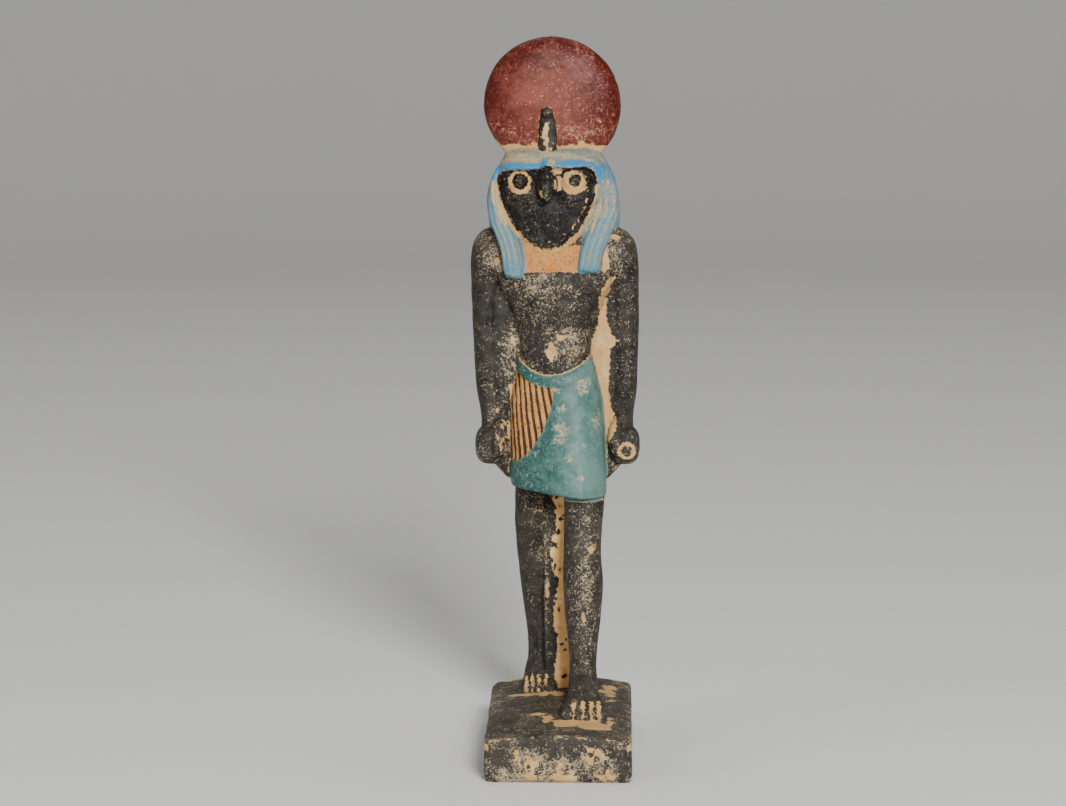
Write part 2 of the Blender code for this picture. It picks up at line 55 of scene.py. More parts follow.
# Drawn sizes, in millimetres.
PLINTH_WIDTH = 44.0
PLINTH_DEPTH = 80.0
PLINTH_HEIGHT = 12.3
PLINTH_CROWN = 2.2
PLINTH_ROUNDING = 1.4
PLINTH_REAR_RISE = 1.0
PLINTH_REAR_SWELL = 0.7
SOLES = PLINTH_HEIGHT + PLINTH_CROWN
BODY_HEIGHT = 170.5
DISC_RADIUS = 21.1
DISC_THICKNESS = 11.5
DISC_SINK = 6.8
DISC_Y = -1.0
PILLAR_WIDTH = 15.0
PILLAR_BACK = 16.5
PILLAR_TOP = 137.0
PLINTH_BEHIND_PILLAR = 0.5
WEB_BACK = 12.0
EYE_HEIGHT = 161.3
EYE_SPREAD = 8.3
FACE_DEPTH = 1.7
ROLL_X = 21.6
ROLL_Z = 77.9
PLEAT_PITCH = 2.1
STRAND_PITCH = 1.7
STRAND_SHIFT = 0.4
HOOD_STRANDS = 62
LEAN = math.radians(0.95)
FACE_TURN = math.radians(-5.5)
TOTAL_HEIGHT = SOLES + BODY_HEIGHT + 2 * DISC_RADIUS - DISC_SINK
BODY_Y = PLINTH_DEPTH / 2 - PLINTH_BEHIND_PILLAR - PILLAR_BACK
PLINTH_FRONT = -PLINTH_DEPTH / 2 - BODY_Y
PLINTH_TOP_EDGE = -4.4

# The frame's size of a drawn millimetre.
MM = (solid_high.z - solid_low.z) / TOTAL_HEIGHT

# How fine the surface is: the fusing grid in drawn millimetres, and the triangles kept.
GRID = 0.37
TRIANGLES = 196000
SIDES = 96
SOLE_SINK = 3.0

# A paint's reach, in millimetres, on points that it is kept off.
OFF = -20.0

# Paints and the bare body, as linear colours.
BARE = (0.50, 0.295, 0.110, 1)
BARE_DEEP = (0.26, 0.120, 0.038, 1)
BARE_PALE = (0.55, 0.38, 0.185, 1)
BLACK = (0.0035, 0.0031, 0.0028, 1)
BLACK_WORN = (0.044, 0.037, 0.029, 1)
GREY_FLAKE = (0.335, 0.262, 0.166, 1)
DUST = (0.42, 0.37, 0.30, 1)
BLUE = (0.006, 0.190, 0.42, 1)
GROOVE = (0.110, 0.104, 0.076, 1)
BLUE_PALE = (0.105, 0.205, 0.225, 1)
BLUE_FLAKE = (0.43, 0.32, 0.165, 1)
TEAL = (0.019, 0.070, 0.062, 1)
# Pale teal is thin paint and also the painted light on the kilt.
TEAL_PALE = (0.098, 0.190, 0.165, 1)
TEAL_FLAKE = (0.44, 0.335, 0.205, 1)
RED = (0.055, 0.0018, 0.0005, 1)
# Pale red is thin paint and also the painted highlight in the disc's middle.
RED_PALE = (0.180, 0.044, 0.027, 1)
RED_FLAKE = (0.36, 0.19, 0.13, 1)
OCHRE = (0.46, 0.132, 0.008, 1)
OCHRE_DEEP = (0.155, 0.052, 0.012, 1)
BROWN = (0.048, 0.016, 0.005, 1)


def smooth_through(rows, steps=5):
    """Rows of numbers made finer by a smooth curve through every one of them."""
    rows = np.array(rows, float)
    padded = np.vstack([2 * rows[0] - rows[1], rows, 2 * rows[-1] - rows[-2]])
    finer = []
    for before, start, end, after in zip(padded, padded[1:], padded[2:], padded[3:]):
        for t in np.arange(steps) / steps:
            finer.append(
                start
                + 0.5 * t * (end - before)
                + t**2 * (before - 2.5 * start + 2 * end - 0.5 * after)
                + 0.5 * t**3 * (3 * start - before - 3 * end + after)
            )
    return np.array(finer + [rows[-1]])


def section_point(angle, row, along_x, along_y):
    """A point of one section: a rounded rectangle that is an ellipse when squareness is 2."""
    half_width, half_depth, squareness = row[3:6]
    cos, sin = math.cos(angle), math.sin(angle)
    reach = (abs(cos) ** squareness + abs(sin) ** squareness) ** (-1 / squareness)
    return row[:3] + reach * cos * half_width * along_x + reach * sin * half_depth * along_y


def skin(rows, steps=5, section="level"):
    """A closed form through sections of x, y, z, half width, half depth and squareness.

    Its sections lie level, upright across the figure, or square to the path of their centres.
    """
    rows = smooth_through(rows, steps)
    bm = bmesh.new()
    bmesh.ops.create_circle(bm, cap_ends=True, segments=SIDES, radius=1)
    top = next(iter(bm.faces))
    for _ in rows[1:]:
        made = bmesh.ops.extrude_face_region(bm, geom=[top])["geom"]
        raised = [item for item in made if isinstance(item, bmesh.types.BMVert)]
        bmesh.ops.translate(bm, vec=(0, 0, 1), verts=raised)
        top = next(item for item in made if isinstance(item, bmesh.types.BMFace))
    paths = np.gradient(rows[:, :3], axis=0)
    across = np.array((1.0, 0.0, 0.0))
    other = {"level": np.array((0.0, 1.0, 0.0)), "upright": np.array((0.0, 0.0, 1.0))}.get(section)
    for vert in bm.verts:
        number = round(vert.co.z)
        path = paths[number] / np.linalg.norm(paths[number])
        up = np.cross(path, across) if other is None else other
        vert.co = section_point(math.atan2(vert.co.y, vert.co.x), rows[number], across, up)
    bmesh.ops.recalc_face_normals(bm, faces=bm.faces)
    return bm


def ball(centre, radii):
    bm = bmesh.new()
    matrix = Matrix.Translation(centre) @ Matrix.Diagonal((*radii, 1))
    bmesh.ops.create_uvsphere(bm, u_segments=48, v_segments=28, radius=1, matrix=matrix)
    return bm


def block(low, high, rounding, cuts=0):
    """A box between two corners, with rounded edges and its long sides cut across X."""
    bm = bmesh.new()
    size = [b - a for a, b in zip(low, high)]
    middle = [(a + b) / 2 for a, b in zip(low, high)]
    matrix = Matrix.Translation(middle) @ Matrix.Diagonal((*size, 1))
    bmesh.ops.create_cube(bm, size=1, matrix=matrix)
    if cuts:
        lengthwise = [e for e in bm.edges if abs(e.verts[0].co.x - e.verts[1].co.x) > size[0] / 2]
        bmesh.ops.subdivide_edges(bm, edges=lengthwise, cuts=cuts, use_grid_fill=True)
    sharp = [e for e in bm.edges if e.calc_face_angle(0) > 0.8]
    bmesh.ops.bevel(
        bm, geom=sharp, offset=rounding, segments=4, profile=0.5, affect="EDGES", material=-1
    )
    return bm


def turned(profile, axis, merge):
    """A form turned once round an axis. Points closer than merge become one."""
    bm = bmesh.new()
    verts = [bm.verts.new(point) for point in profile]
    edges = [bm.edges.new(pair) for pair in zip(verts, verts[1:])]
    bmesh.ops.spin(
        bm, geom=verts + edges, cent=(0, 0, 0), axis=axis, angle=math.tau, steps=96, use_merge=True
    )
    bmesh.ops.remove_doubles(bm, verts=bm.verts, dist=merge)
    bmesh.ops.recalc_face_normals(bm, faces=bm.faces)
    return bm


def mirrored(bm):
    other = bm.copy()
    bmesh.ops.scale(other, vec=(-1, 1, 1), verts=other.verts)
    bmesh.ops.reverse_faces(other, faces=other.faces)
    return other


def step_up(low, high, value):
    """0 at low, 1 at high, and a smooth rise between them."""
    t = np.clip((value - low) / (high - low), 0, 1)
    return t * t * (3 - 2 * t)


def torso():
    # x, y, z, half width, half depth, squareness
    trunk = skin([
        (0, 0.4, 151, 8.5, 7.0, 2.2),
        (0, 0.4, 149.4, 12.5, 8.0, 2.2),
        (0, 0.3, 147.4, 17.6, 9.2, 2.3),
        (0, 0.2, 144, 22.0, 10.4, 2.4),
        (0, 0.0, 139.5, 23.4, 11.4, 2.5),
        (0, -0.3, 134.5, 21.4, 12.2, 2.5),
        (0, -0.6, 130, 18.6, 12.8, 2.5),
        (0, -0.8, 124, 15.4, 12.6, 2.5),
        (0, -0.7, 118, 13.0, 12.0, 2.4),
        (0, -0.8, 112, 11.8, 11.6, 2.4),
        (0, -0.9, 107, 11.6, 11.6, 2.4),
        (0, -1.3, 101, 12.3, 12.2, 2.4),
        (0, -1.2, 96, 12.4, 12.0, 2.4),
    ])
    breasts = [ball((7.5 * side, -7.2, 131.5), (10.0, 6.1, 8.0)) for side in (-1, 1)]
    belly = ball((0, -7.8, 108.5), (9.6, 5.7, 9.0))
    return [trunk, *breasts, belly]


def arm():
    upper = skin([
        (17.6, 0.4, 146.8, 1.6, 2.0, 2.0),
        (18.6, 0.4, 145.6, 3.7, 4.6, 2.0),
        (19.9, 0.3, 142.4, 5.0, 7.0, 2.1),
        (20.8, 0.2, 137.6, 5.2, 7.8, 2.2),
        (21.4, 0.1, 132, 4.9, 7.2, 2.3),
        (21.6, 0.2, 122, 4.4, 6.5, 2.4),
        (21.3, 0.2, 110, 4.3, 6.0, 2.4),
        (20.9, -0.6, 98, 4.2, 5.6, 2.4),
        (20.0, -1.4, 87, 3.6, 4.9, 2.3),
        (20.2, -2.0, 80, 4.2, 5.0, 2.3),
    ])
    fist = skin([
        (20.5, 4.8, 80.2, 2.4, 2.8, 2.4),
        (20.7, 3.8, 79.6, 4.0, 4.6, 2.6),
        (20.9, 0.5, 79.0, 4.7, 5.6, 2.7),
        (20.9, -4.0, 78.8, 4.7, 5.8, 2.7),
        (20.7, -7.6, 79.2, 4.2, 5.2, 2.6),
        (20.6, -9.2, 79.6, 3.0, 3.9, 2.4),
    ], section="upright")
    thumb = skin([
        (18.6, -4.6, 86.4, 1.2, 1.4, 2),
        (18.2, -7.0, 85.0, 1.9, 1.9, 2),
        (18.0, -8.8, 81.4, 2.0, 2.0, 2),
        (18.2, -9.4, 78.0, 1.8, 1.7, 2),
        (18.5, -9.2, 75.9, 0.7, 0.7, 2),
    ], section="path")
    return [upper, fist, thumb]


def held_roll():
    """The end of the short roll in the left fist, a low ring on its front."""
    return skin([
        (ROLL_X, -5.0, ROLL_Z, 2.8, 2.8, 2),
        (ROLL_X, -9.8, ROLL_Z, 2.8, 2.8, 2),
        (ROLL_X, -10.4, ROLL_Z, 2.2, 2.2, 2),
    ], steps=3, section="upright")


def arm_webs():
    """The stone left between each arm and the body, which slopes in from the fist to the kilt."""
    return [
        skin([
            (15.8 * side, 1.6, 142, 5.0, 7.4, 4),
            (15.8 * side, 1.8, 120, 6.0, 7.0, 4),
            (15.8 * side, 1.6, 95, 6.4, 6.8, 4),
            (16.0 * side, 0.8, 80, 6.2, 7.0, 4),
            (15.4 * side, 0.4, 74, 5.2, 6.6, 3.4),
            (14.0 * side, 0.6, 68.6, 2.2, 5.4, 2.8),
        ])
        for side in (-1, 1)
    ]


def kilt():
    """One wrapped cloth. The thigh that is put forward pulls its front out towards the hem."""
    cloth = skin([
        (0, -1.2, 106.5, 11.4, 11.3, 2.4),
        (0, -1.4, 101, 12.7, 12.6, 2.5),
        (-0.1, -1.6, 94, 14.1, 13.3, 2.7),
        (0, -1.8, 84, 14.7, 13.8, 2.9),
        (0.1, -2.0, 74, 14.9, 14.3, 3.0),
        (0.2, -2.1, 67.2, 14.9, 14.6, 3.0),
    ])
    for vert in cloth.verts:
        pulled = step_up(-14, 9, vert.co.x) * step_up(104, 64, vert.co.z)
        vert.co.y -= 4.0 * pulled * step_up(6, -6, vert.co.y)
        vert.co.z -= 2.6 * pulled
    return [cloth]


FORWARD_LEG = [
    (7.4, -6.6, 78, 6.3, 6.6, 2.2),
    (8.2, -10.2, 64, 6.2, 6.7, 2.2),
    (7.9, -13.0, 55, 5.9, 6.4, 2.2),
    (7.5, -15.2, 46, 5.75, 6.0, 2.2),
    (7.6, -17.0, 38, 6.0, 6.5, 2.2),
    (7.4, -19.0, 29, 5.5, 6.1, 2.2),
    (7.3, -21.4, 20, 4.6, 5.0, 2.2),
    (7.3, -23.2, 12.5, 4.2, 4.4, 2.2),
    (7.2, -24.2, 6, 4.6, 4.9, 2.3),
    (7.2, -24.6, 0, 4.8, 5.4, 2.5),
    (7.2, -24.6, -SOLE_SINK, 4.8, 5.4, 2.5),
]
REAR_LEG = [
    (-7.4, 1.0, 76, 5.6, 6.6, 2.2),
    (-8.2, 2.4, 64, 5.4, 6.4, 2.2),
    (-8.2, 3.4, 54, 5.7, 6.2, 2.2),
    (-8.0, 5.0, 46, 5.6, 5.8, 2.2),
    (-7.7, 6.4, 38, 5.4, 6.2, 2.2),
    (-7.3, 8.2, 29, 4.8, 5.7, 2.2),
    (-6.9, 10.2, 18, 4.1, 4.7, 2.2),
    (-6.9, 11.2, 11, 3.9, 4.3, 2.2),
    (-7.1, 11.4, 5, 4.1, 4.6, 2.3),
    (-7.1, 11.4, 0, 4.3, 5.0, 2.5),
    (-7.1, 11.4, -SOLE_SINK, 4.3, 5.0, 2.5),
]


def legs():
    knees = [ball((7.8, -15.8, 56.5), (4.2, 3.8, 4.6)), ball((-8.6, 0.4, 55), (4.0, 3.6, 4.6))]
    return [skin(FORWARD_LEG), skin(REAR_LEG), *knees]


def foot(inner, ankle, width, length):
    """A foot that points forward, with five toes. inner is +1 where its big toe is towards +X."""
    x, y = ankle
    top = skin([
        (x, y + 5.2, 2.6, 2.6, 3.2, 2.3),
        (x, y + 4.2, 2.8, 3.8, 5.6, 2.4),
        (x, y, 3.4, 4.4, 8.0, 2.3),
        (x, y - 4.5, 2.6, 4.8, 8.0, 2.2),
        (x, y - 0.42 * length, 1.2, 0.46 * width, 6.2, 2.3),
        (x, y - 0.58 * length, 0.4, 0.49 * width, 4.2, 2.6),
        (x, y - 0.66 * length, 0.0, 0.46 * width, 2.6, 2.6),
    ], section="upright")
    made = [top]
    shares = (0.29, 0.2, 0.185, 0.17, 0.155)
    reaches = (0.80, 0.795, 0.765, 0.725, 0.67)
    edge = inner * width / 2
    for share, reach in zip(shares, reaches):
        half = share * width / 2
        middle = x + edge - inner * half
        edge -= inner * share * width
        tip = y - reach * length
        toe = skin([
            (middle, y - 0.5 * length, 1.6, half * 0.8, 2.6, 2.2),
            (middle, tip + 3.0, 1.2, half * 0.97, 2.4, 2.3),
            (middle, tip + 1.2, 0.9, half * 0.95, 2.1, 2.3),
            (middle, tip + 0.3, 0.6, half * 0.65, 1.5, 2.2),
            (middle, tip, 0.4, half * 0.2, 0.6, 2.0),
        ], steps=4, section="upright")
        made.append(toe)
    return made


def leg_webs():
    """The stone left between the legs, and behind the forward leg back to the pillar."""
    between = block((-5.0, -1.5, -SOLE_SINK), (4.5, WEB_BACK, 80), rounding=1.0)
    behind = [
        (x, (y + WEB_BACK) / 2, z, 3.4, (WEB_BACK - y) / 2, 8) for x, y, z, *_ in FORWARD_LEG
    ]
    return [between, skin(behind, steps=2)]


def pillar():
    half = PILLAR_WIDTH / 2
    return block((-half, 4, -SOLE_SINK), (half, PILLAR_BACK, PILLAR_TOP), rounding=0.9)


HOOD = [
    (0, 0.4, 171.2, 12.4, 8.6, 2.4),
    (0, 0.3, 170.4, 14.4, 11.0, 2.5),
    (0, 0.1, 168.4, 15.8, 13.8, 2.6),
    (0, 0.0, 166.0, 17.1, 15.8, 2.8),
    (0, 0.2, 163.0, 18.5, 15.8, 2.9),
    (0, 0.6, 160.0, 19.5, 15.2, 2.9),
    (0, 1.4, 155.0, 20.2, 14.4, 2.8),
    (0, 2.6, 150.0, 20.4, 13.4, 2.7),
    (0, 4.2, 145.0, 19.6, 12.0, 2.8),
    (0, 5.6, 138.0, 17.4, 10.8, 3.0),
    (0, 6.8, 132.5, 15.8, 9.6, 3.2),
    (0, 7.2, 131.4, 14.6, 8.8, 3.2),
]
# The two flaps over the chest, which a hand cut a little unlike.
RIGHT_FLAP = [
    (-15.6, -4.6, 166, 1.6, 4.0, 2.2),
    (-17.0, -5.4, 162, 2.4, 4.6, 2.3),
    (-17.6, -6.4, 158, 2.7, 4.7, 2.4),
    (-17.2, -7.4, 153, 3.3, 4.6, 2.4),
    (-16.2, -8.6, 148.4, 3.7, 4.2, 2.5),
    (-14.5, -10.0, 144.6, 3.7, 3.8, 2.6),
    (-13.2, -11.2, 140.2, 3.6, 3.4, 2.8),
    (-12.6, -12.0, 135.6, 3.4, 2.9, 2.8),
    (-12.4, -12.0, 132.8, 2.8, 2.6, 2.6),
    (-12.4, -12.0, 132.0, 2.0, 1.8, 2.6),
]
LEFT_FLAP = [
    (15.4, -4.6, 166, 1.6, 4.0, 2.2),
    (16.8, -5.4, 162, 2.4, 4.6, 2.3),
    (17.3, -6.4, 158, 2.8, 4.7, 2.4),
    (16.9, -7.4, 153, 3.7, 4.6, 2.4),
    (15.0, -8.6, 148.6, 4.4, 4.2, 2.5),
    (13.4, -10.0, 144.8, 4.1, 3.8, 2.6),
    (11.9, -11.2, 140.6, 3.7, 3.4, 2.8),
    (11.1, -12.0, 136.6, 3.5, 2.9, 3.2),
    (10.8, -12.1, 134.6, 3.5, 2.7, 3.8),
    (10.8, -12.1, 133.8, 3.1, 2.0, 3.8),
]


def face():
    """The falcon's head within the wig: cheeks, eyes, hooked beak and the bib of its throat."""
    bib = skin([
        (0, -4.0, 164, 14.5, 11.4, 2.5),
        (0, -4.2, 158, 15.8, 11.6, 2.5),
        (0, -4.2, 154, 15.6, 11.1, 2.5),
        (0, -4.0, 150, 14.2, 10.6, 2.5),
        (-0.4, -3.8, 146, 12.4, 10.2, 2.5),
        (-0.6, -3.6, 143, 10.0, 9.9, 2.4),
        (-0.6, -3.4, 141.2, 7.4, 9.5, 2.3),
        (-0.6, -3.2, 140.2, 4.6, 8.9, 2.2),
    ])
    cheeks = [ball((7.6 * side, -10.6, 158.4), (8.2, 6.6, 6.2)) for side in (-1, 1)]
    eyes, pupils = [], []
    for spread in (-EYE_SPREAD, EYE_SPREAD):
        eyes.append(ball((spread - 0.4, -14.0, EYE_HEIGHT), (4.2, 3.9, 3.6)))
        pupils.append(ball((spread - 0.2, -16.2, EYE_HEIGHT + 0.5), (2.2, 2.1, 2.2)))
    beak = skin([
        (0, -14.4, 168.0, 1.3, 2.6, 2),
        (0, -15.2, 166.6, 2.0, 3.6, 2),
        (0, -15.6, 164.6, 2.6, 4.9, 2),
        (0, -16.0, 161.9, 3.2, 5.9, 2),
        (0, -16.6, 159.8, 3.2, 6.0, 2),
        (0, -17.8, 158.2, 2.4, 4.6, 2),
        (0, -19.8, 156.8, 1.4, 2.1, 2),
        (0, -20.4, 156.0, 0.5, 0.7, 2),
    ])
    made = [bib, *cheeks, *eyes, *pupils, beak]
    for bm in made:
        bmesh.ops.transform(bm, matrix=Matrix.Rotation(FACE_TURN, 4, "Z"), verts=bm.verts)
    return made


def sun_disc():
    """A turned lens with a blunt rim, sunk into the crown."""
    half = DISC_THICKNESS / 2
    profile = []
    for turn in np.linspace(0, math.pi, 49):
        share = math.sin(turn)
        bulge = math.copysign(half * (1 - share**3) ** (1 / 2.2), -math.cos(turn))
        profile.append((DISC_RADIUS * share, bulge, 0))
    bm = turned(profile, axis=(0, 1, 0), merge=1e-4)
    bmesh.ops.translate(bm, vec=(0, DISC_Y, BODY_HEIGHT + DISC_RADIUS - DISC_SINK), verts=bm.verts)
    return bm


def uraeus():
    """The small rearing cobra on the crown, its hood against the disc."""
    front = DISC_Y - DISC_THICKNESS / 2
    hood = skin([
        (-1.3, front - 2.4, 169.0, 2.3, 1.6, 2.4),
        (-1.3, front - 1.5, 171.0, 2.6, 1.6, 2.6),
        (-1.4, front - 0.7, 175.0, 2.7, 1.6, 2.6),
        (-1.5, front - 0.5, 179.5, 2.4, 1.6, 2.6),
        (-1.6, front - 0.6, 182.4, 1.8, 1.5, 2.4),
    ], section="path")
    head = ball((-1.7, front - 1.5, 182.6), (1.9, 2.2, 1.6))
    return [hood, head]


def plinth():
    """The block under the feet, its top a little higher along its middle and at its rear."""
    half = PLINTH_WIDTH / 2
    low = (-half, PLINTH_FRONT, -SOLES)
    high = (half, PLINTH_DEPTH / 2 - BODY_Y, PLINTH_HEIGHT - SOLES)
    bm = block(low, high, PLINTH_ROUNDING, cuts=23)
    for vert in bm.verts:
        on_top = step_up(-SOLES + 2, PLINTH_HEIGHT - SOLES, vert.co.z)
        across, rear = vert.co.x / half, step_up(5, 36, vert.co.y + BODY_Y)
        vert.co.z += on_top * (PLINTH_CROWN * max(1 - across**2, 0) + PLINTH_REAR_RISE * rear)
        vert.co.x += PLINTH_REAR_SWELL * rear * min(across, 0)
    return bm


def figure_forms():
    """Every form of the one casting, by what it is painted as."""
    right_arm = [mirrored(bm) for bm in arm()]
    feet = [*foot(-1, (7.4, -24.4), 13.9, 26.0), *foot(1, (-7.1, 11.4), 11.2, 22.0)]
    return {
        "disc": [sun_disc()],
        "cobra": uraeus(),
        "wig": [skin(HOOD), skin(RIGHT_FLAP), skin(LEFT_FLAP)],
        "head": face(),
        "body": [*torso(), *arm(), *right_arm, held_roll(), *legs(), *feet],
        "webs": [*arm_webs(), *leg_webs()],
        "pillar": [pillar()],
        "kilt": kilt(),
        "plinth": [plinth()],
    }


def joined(shapes):
    """One mesh of several shapes, which are used up."""
    whole = bmesh.new()
    for bm in shapes:
        piece = bpy.data.meshes.new("piece")
        bm.to_mesh(piece)
        bm.free()
        whole.from_mesh(piece)
        bpy.data.meshes.remove(piece)
    return whole


def shaped(mesh, *modifiers):
    """The mesh that a few modifiers make of this one. Each is a type and its settings."""
    obj = bpy.data.objects.new("clay", mesh)
    bpy.context.scene.collection.objects.link(obj)
    for kind, settings in modifiers:
        modifier = obj.modifiers.new(kind.lower(), kind)
        for name, value in settings.items():
            setattr(modifier, name, value)
    graph = bpy.context.evaluated_depsgraph_get()
    made = bpy.data.meshes.new_from_object(obj.evaluated_get(graph))
    bpy.data.objects.remove(obj)
    bpy.data.meshes.remove(mesh)
    return made


def mottle(points, size, seed=0):
    """Smooth random values from -1 to 1 that change over about this many millimetres."""
    cells = points / size + 1000.0
    base = np.floor(cells).astype(np.int64)
    t = cells - base
    t = t * t * (3 - 2 * t)
    total = np.zeros(len(points))
    for corner in np.ndindex(2, 2, 2):
        key = (base + corner) @ np.array((73856093, 19349663, 83492791)) + seed * 2654435761
        key = ((key ^ (key >> 13)) * 1274126177) & 0xFFFFFFFF
        key = ((key ^ (key >> 15)) * 2246822519) & 0xFFFFFFFF
        weight = np.prod(np.where(corner, t, 1 - t), axis=1)
        total += weight * (key / 0x7FFFFFFF - 1)
    return total


def belt_edges(x):
    """The height of the belt's upper and lower edge, which dip under the belly."""
    side = np.minimum(np.abs(x + 2.2) / np.where(x < -2.2, 10.2, 13.2), 1)
    return 101.9 + 5.6 * side**2, 98.2 + 4.9 * side**2


def pleat_reach(x, z):
    """Over 0 inside the pleated panel at the figure's right hip, in millimetres from its edge."""
    across = np.clip((x + 14.0) / 13.3, 0, None)
    down = np.clip((97.5 - z) / 22.6, 0, None)
    return 12 * (1 - (across**1.6 + down**1.6) ** (1 / 1.6))


def pleat_run(x, z):
    """Millimetres across the pleats, which fan out a little from the hip."""
    fan = 0.02 + 0.0135 * np.clip(x + 14, 0, 14)
    return 16 * np.arcsin(np.clip((x - fan * (97 - z)) / 16, -1, 1))


def face_edge(x, z):
    """Over 0 inside the wig's opening round the face and bib, in millimetres from its edge."""
    across = np.abs(x + 1.9) / 15.4
    down = np.clip((161.5 - z) / 21.3, 0, None)
    sides = 15.4 * (1 - (across**1.75 + down**1.75) ** (1 / 1.75))
    brow = 165.9 + 0.045 * x - z
    brow += 0.9 * np.exp(-(((x + 1.7) / 1.8) ** 4))
    rounding = 4.0
    blend = np.clip(0.5 + 0.5 * (brow - sides) / rounding, 0, 1)
    return brow + (sides - brow) * blend - rounding * blend * (1 - blend)


def eye_edges(x, z):
    """Millimetres inside the nearer eye's rim and inside its pupil."""
    side = np.where(x > -1.4, 1, -1)
    middle = side * EYE_SPREAD - 1.9
    rim = 3.7 * (1 - np.hypot((x - middle) / (3.95 + 0.15 * side), (z - EYE_HEIGHT - 0.3) / 3.65))
    across, up = x - middle - 0.4 - 0.2 * side, z - EYE_HEIGHT - 0.8 - 0.2 * side
    return rim, 2.2 - 0.2 * side - np.hypot(across, up)


def near_form(points, rows):
    """1 on the surface of a level skin and less within it, and how far off its middle in X."""
    x, y, z = points.T
    rows = np.array(sorted(rows, key=lambda row: row[2]), float)
    middle_x, middle_y, half_width, half_depth, squareness = (
        np.interp(z, rows[:, 2], rows[:, column]) for column in (0, 1, 3, 4, 5)
    )
    across, deep = np.abs(x - middle_x) / half_width, np.abs(y - middle_y) / half_depth
    gauge = (across**squareness + deep**squareness) ** (1 / squareness)
    return np.where((z > rows[0, 2] - 1) & (z < rows[-1, 2] + 1), gauge, 9.0), x - middle_x


def hood_angle(x, y):
    """The angle round the hood from its front, in radians."""
    return np.arctan2(x / 19, -(y - 2) / 15)


def strand_lines(points):
    """1 in the grooves between the wig's strands, on its flaps and round its hood."""
    x, y, _ = points.T
    lines = np.zeros(len(points))
    on_flaps = np.zeros(len(points))
    for rows in (RIGHT_FLAP, LEFT_FLAP):
        gauge, across = near_form(points, rows)
        here = step_up(0.16, 0.08, np.abs(gauge - 1)) * (y < -3)
        wave = 0.5 + 0.5 * np.cos(math.tau * (across + STRAND_SHIFT) / STRAND_PITCH)
        lines = np.maximum(lines, here * wave)
        on_flaps = np.maximum(on_flaps, here)
    gauge, _ = near_form(points, HOOD)
    here = step_up(0.12, 0.06, np.abs(gauge - 1)) * (1 - on_flaps)
    return lines + here * (0.5 + 0.5 * np.cos(HOOD_STRANDS * hood_angle(x, y))) * 0.8


def relief(points, normals):
    """How far each point moves out along its normal, in drawn millimetres."""
    x, y, z = points.T
    front = step_up(0.1, 0.45, -normals[:, 1])
    upper, lower = belt_edges(x)
    clear_of_webs = np.maximum(step_up(-4.9, -5.6, y), step_up(8.2, 8.9, y) * (y < WEB_BACK - 0.4))
    on_kilt = clear_of_webs * (z > 63) * (np.abs(x) < 16.2) * step_up(-0.2, 0.2, upper - z)
    on_belt = clear_of_webs * step_up(-0.25, 0.25, upper - z) * step_up(-0.25, 0.25, z - lower)
    on_belt = on_belt * (np.abs(x) < 13)
    moved = on_belt * (0.2 + 0.4 * np.maximum(step_up(6, -2, x), step_up(-0.4, -1.6, z - upper)))

    pleats = pleat_reach(x, z)
    panel = on_kilt * (1 - on_belt) * front
    moved += 0.5 * panel * step_up(0.25, -0.25, pleats)
    groove = step_up(0.1, 0.85, np.cos(math.tau * pleat_run(x, z) / PLEAT_PITCH))
    moved -= 0.65 * panel * step_up(0.1, 0.7, pleats) * groove

    navel = np.abs(x + 1.3) / 1.5 + np.abs(z - 109.0) / 3.0
    moved -= 0.6 * front * step_up(1.0, 0.2, navel)
    breast_line = np.exp(-(((z - 124.8 - 0.012 * x**2) / 0.9) ** 2)) * (np.abs(x) < 15)
    moved -= 0.2 * front * breast_line

    face = face_edge(x, z)
    rim = step_up(156, 163, z) * step_up(-2.6, -1.8, face) * step_up(0.3, -0.3, face)
    moved += 0.55 * front * rim
    eye, pupil = eye_edges(x, z)
    on_face = front * (y < -10) * step_up(-0.2, 0.4, face) * (np.abs(x + 1.7) > 3.2)
    moved -= 0.35 * on_face * np.exp(-(((eye + 0.15) / 0.35) ** 2))
    moved -= 0.22 * on_face * np.exp(-(((pupil + 0.1) / 0.3) ** 2)) * (eye > 0)
    cheek_line = z - 154.2 - 0.016 * (x + 1.5) ** 2
    moved -= 0.3 * on_face * np.exp(-((cheek_line / 0.5) ** 2)) * (np.abs(x + 1.5) < 12)
    collar = step_up(-0.3, 0.3, z - 134.2) * (np.abs(x) < 9.5) * (z < 142)
    collar = collar * step_up(0.3, -0.3, face)
    moved += 0.3 * collar * front

    strands = strand_lines(points) * step_up(133.0, 134.2, z) * step_up(0.5, -0.5, face)
    at_front = step_up(-6, -10, y)
    below_top = step_up(171, 166, z) * (1 - at_front) + step_up(166, 163, z) * at_front
    moved -= 0.36 * strands * below_top

    on_fist = (np.abs(x) > 17.5) * (z > 72) * (z < 79.5)
    knuckles = sum(np.exp(-(((y - at) / 0.42) ** 2)) for at in (-5.6, -2.4, 0.8))
    moved -= 0.45 * on_fist * knuckles * step_up(79.5, 77.5, z)
    held = np.hypot(x - ROLL_X, z - ROLL_Z)
    moved -= 0.4 * front * (y < -9.2) * (x > 17) * np.exp(-(((held - 1.75) / 0.32) ** 2))
    return moved


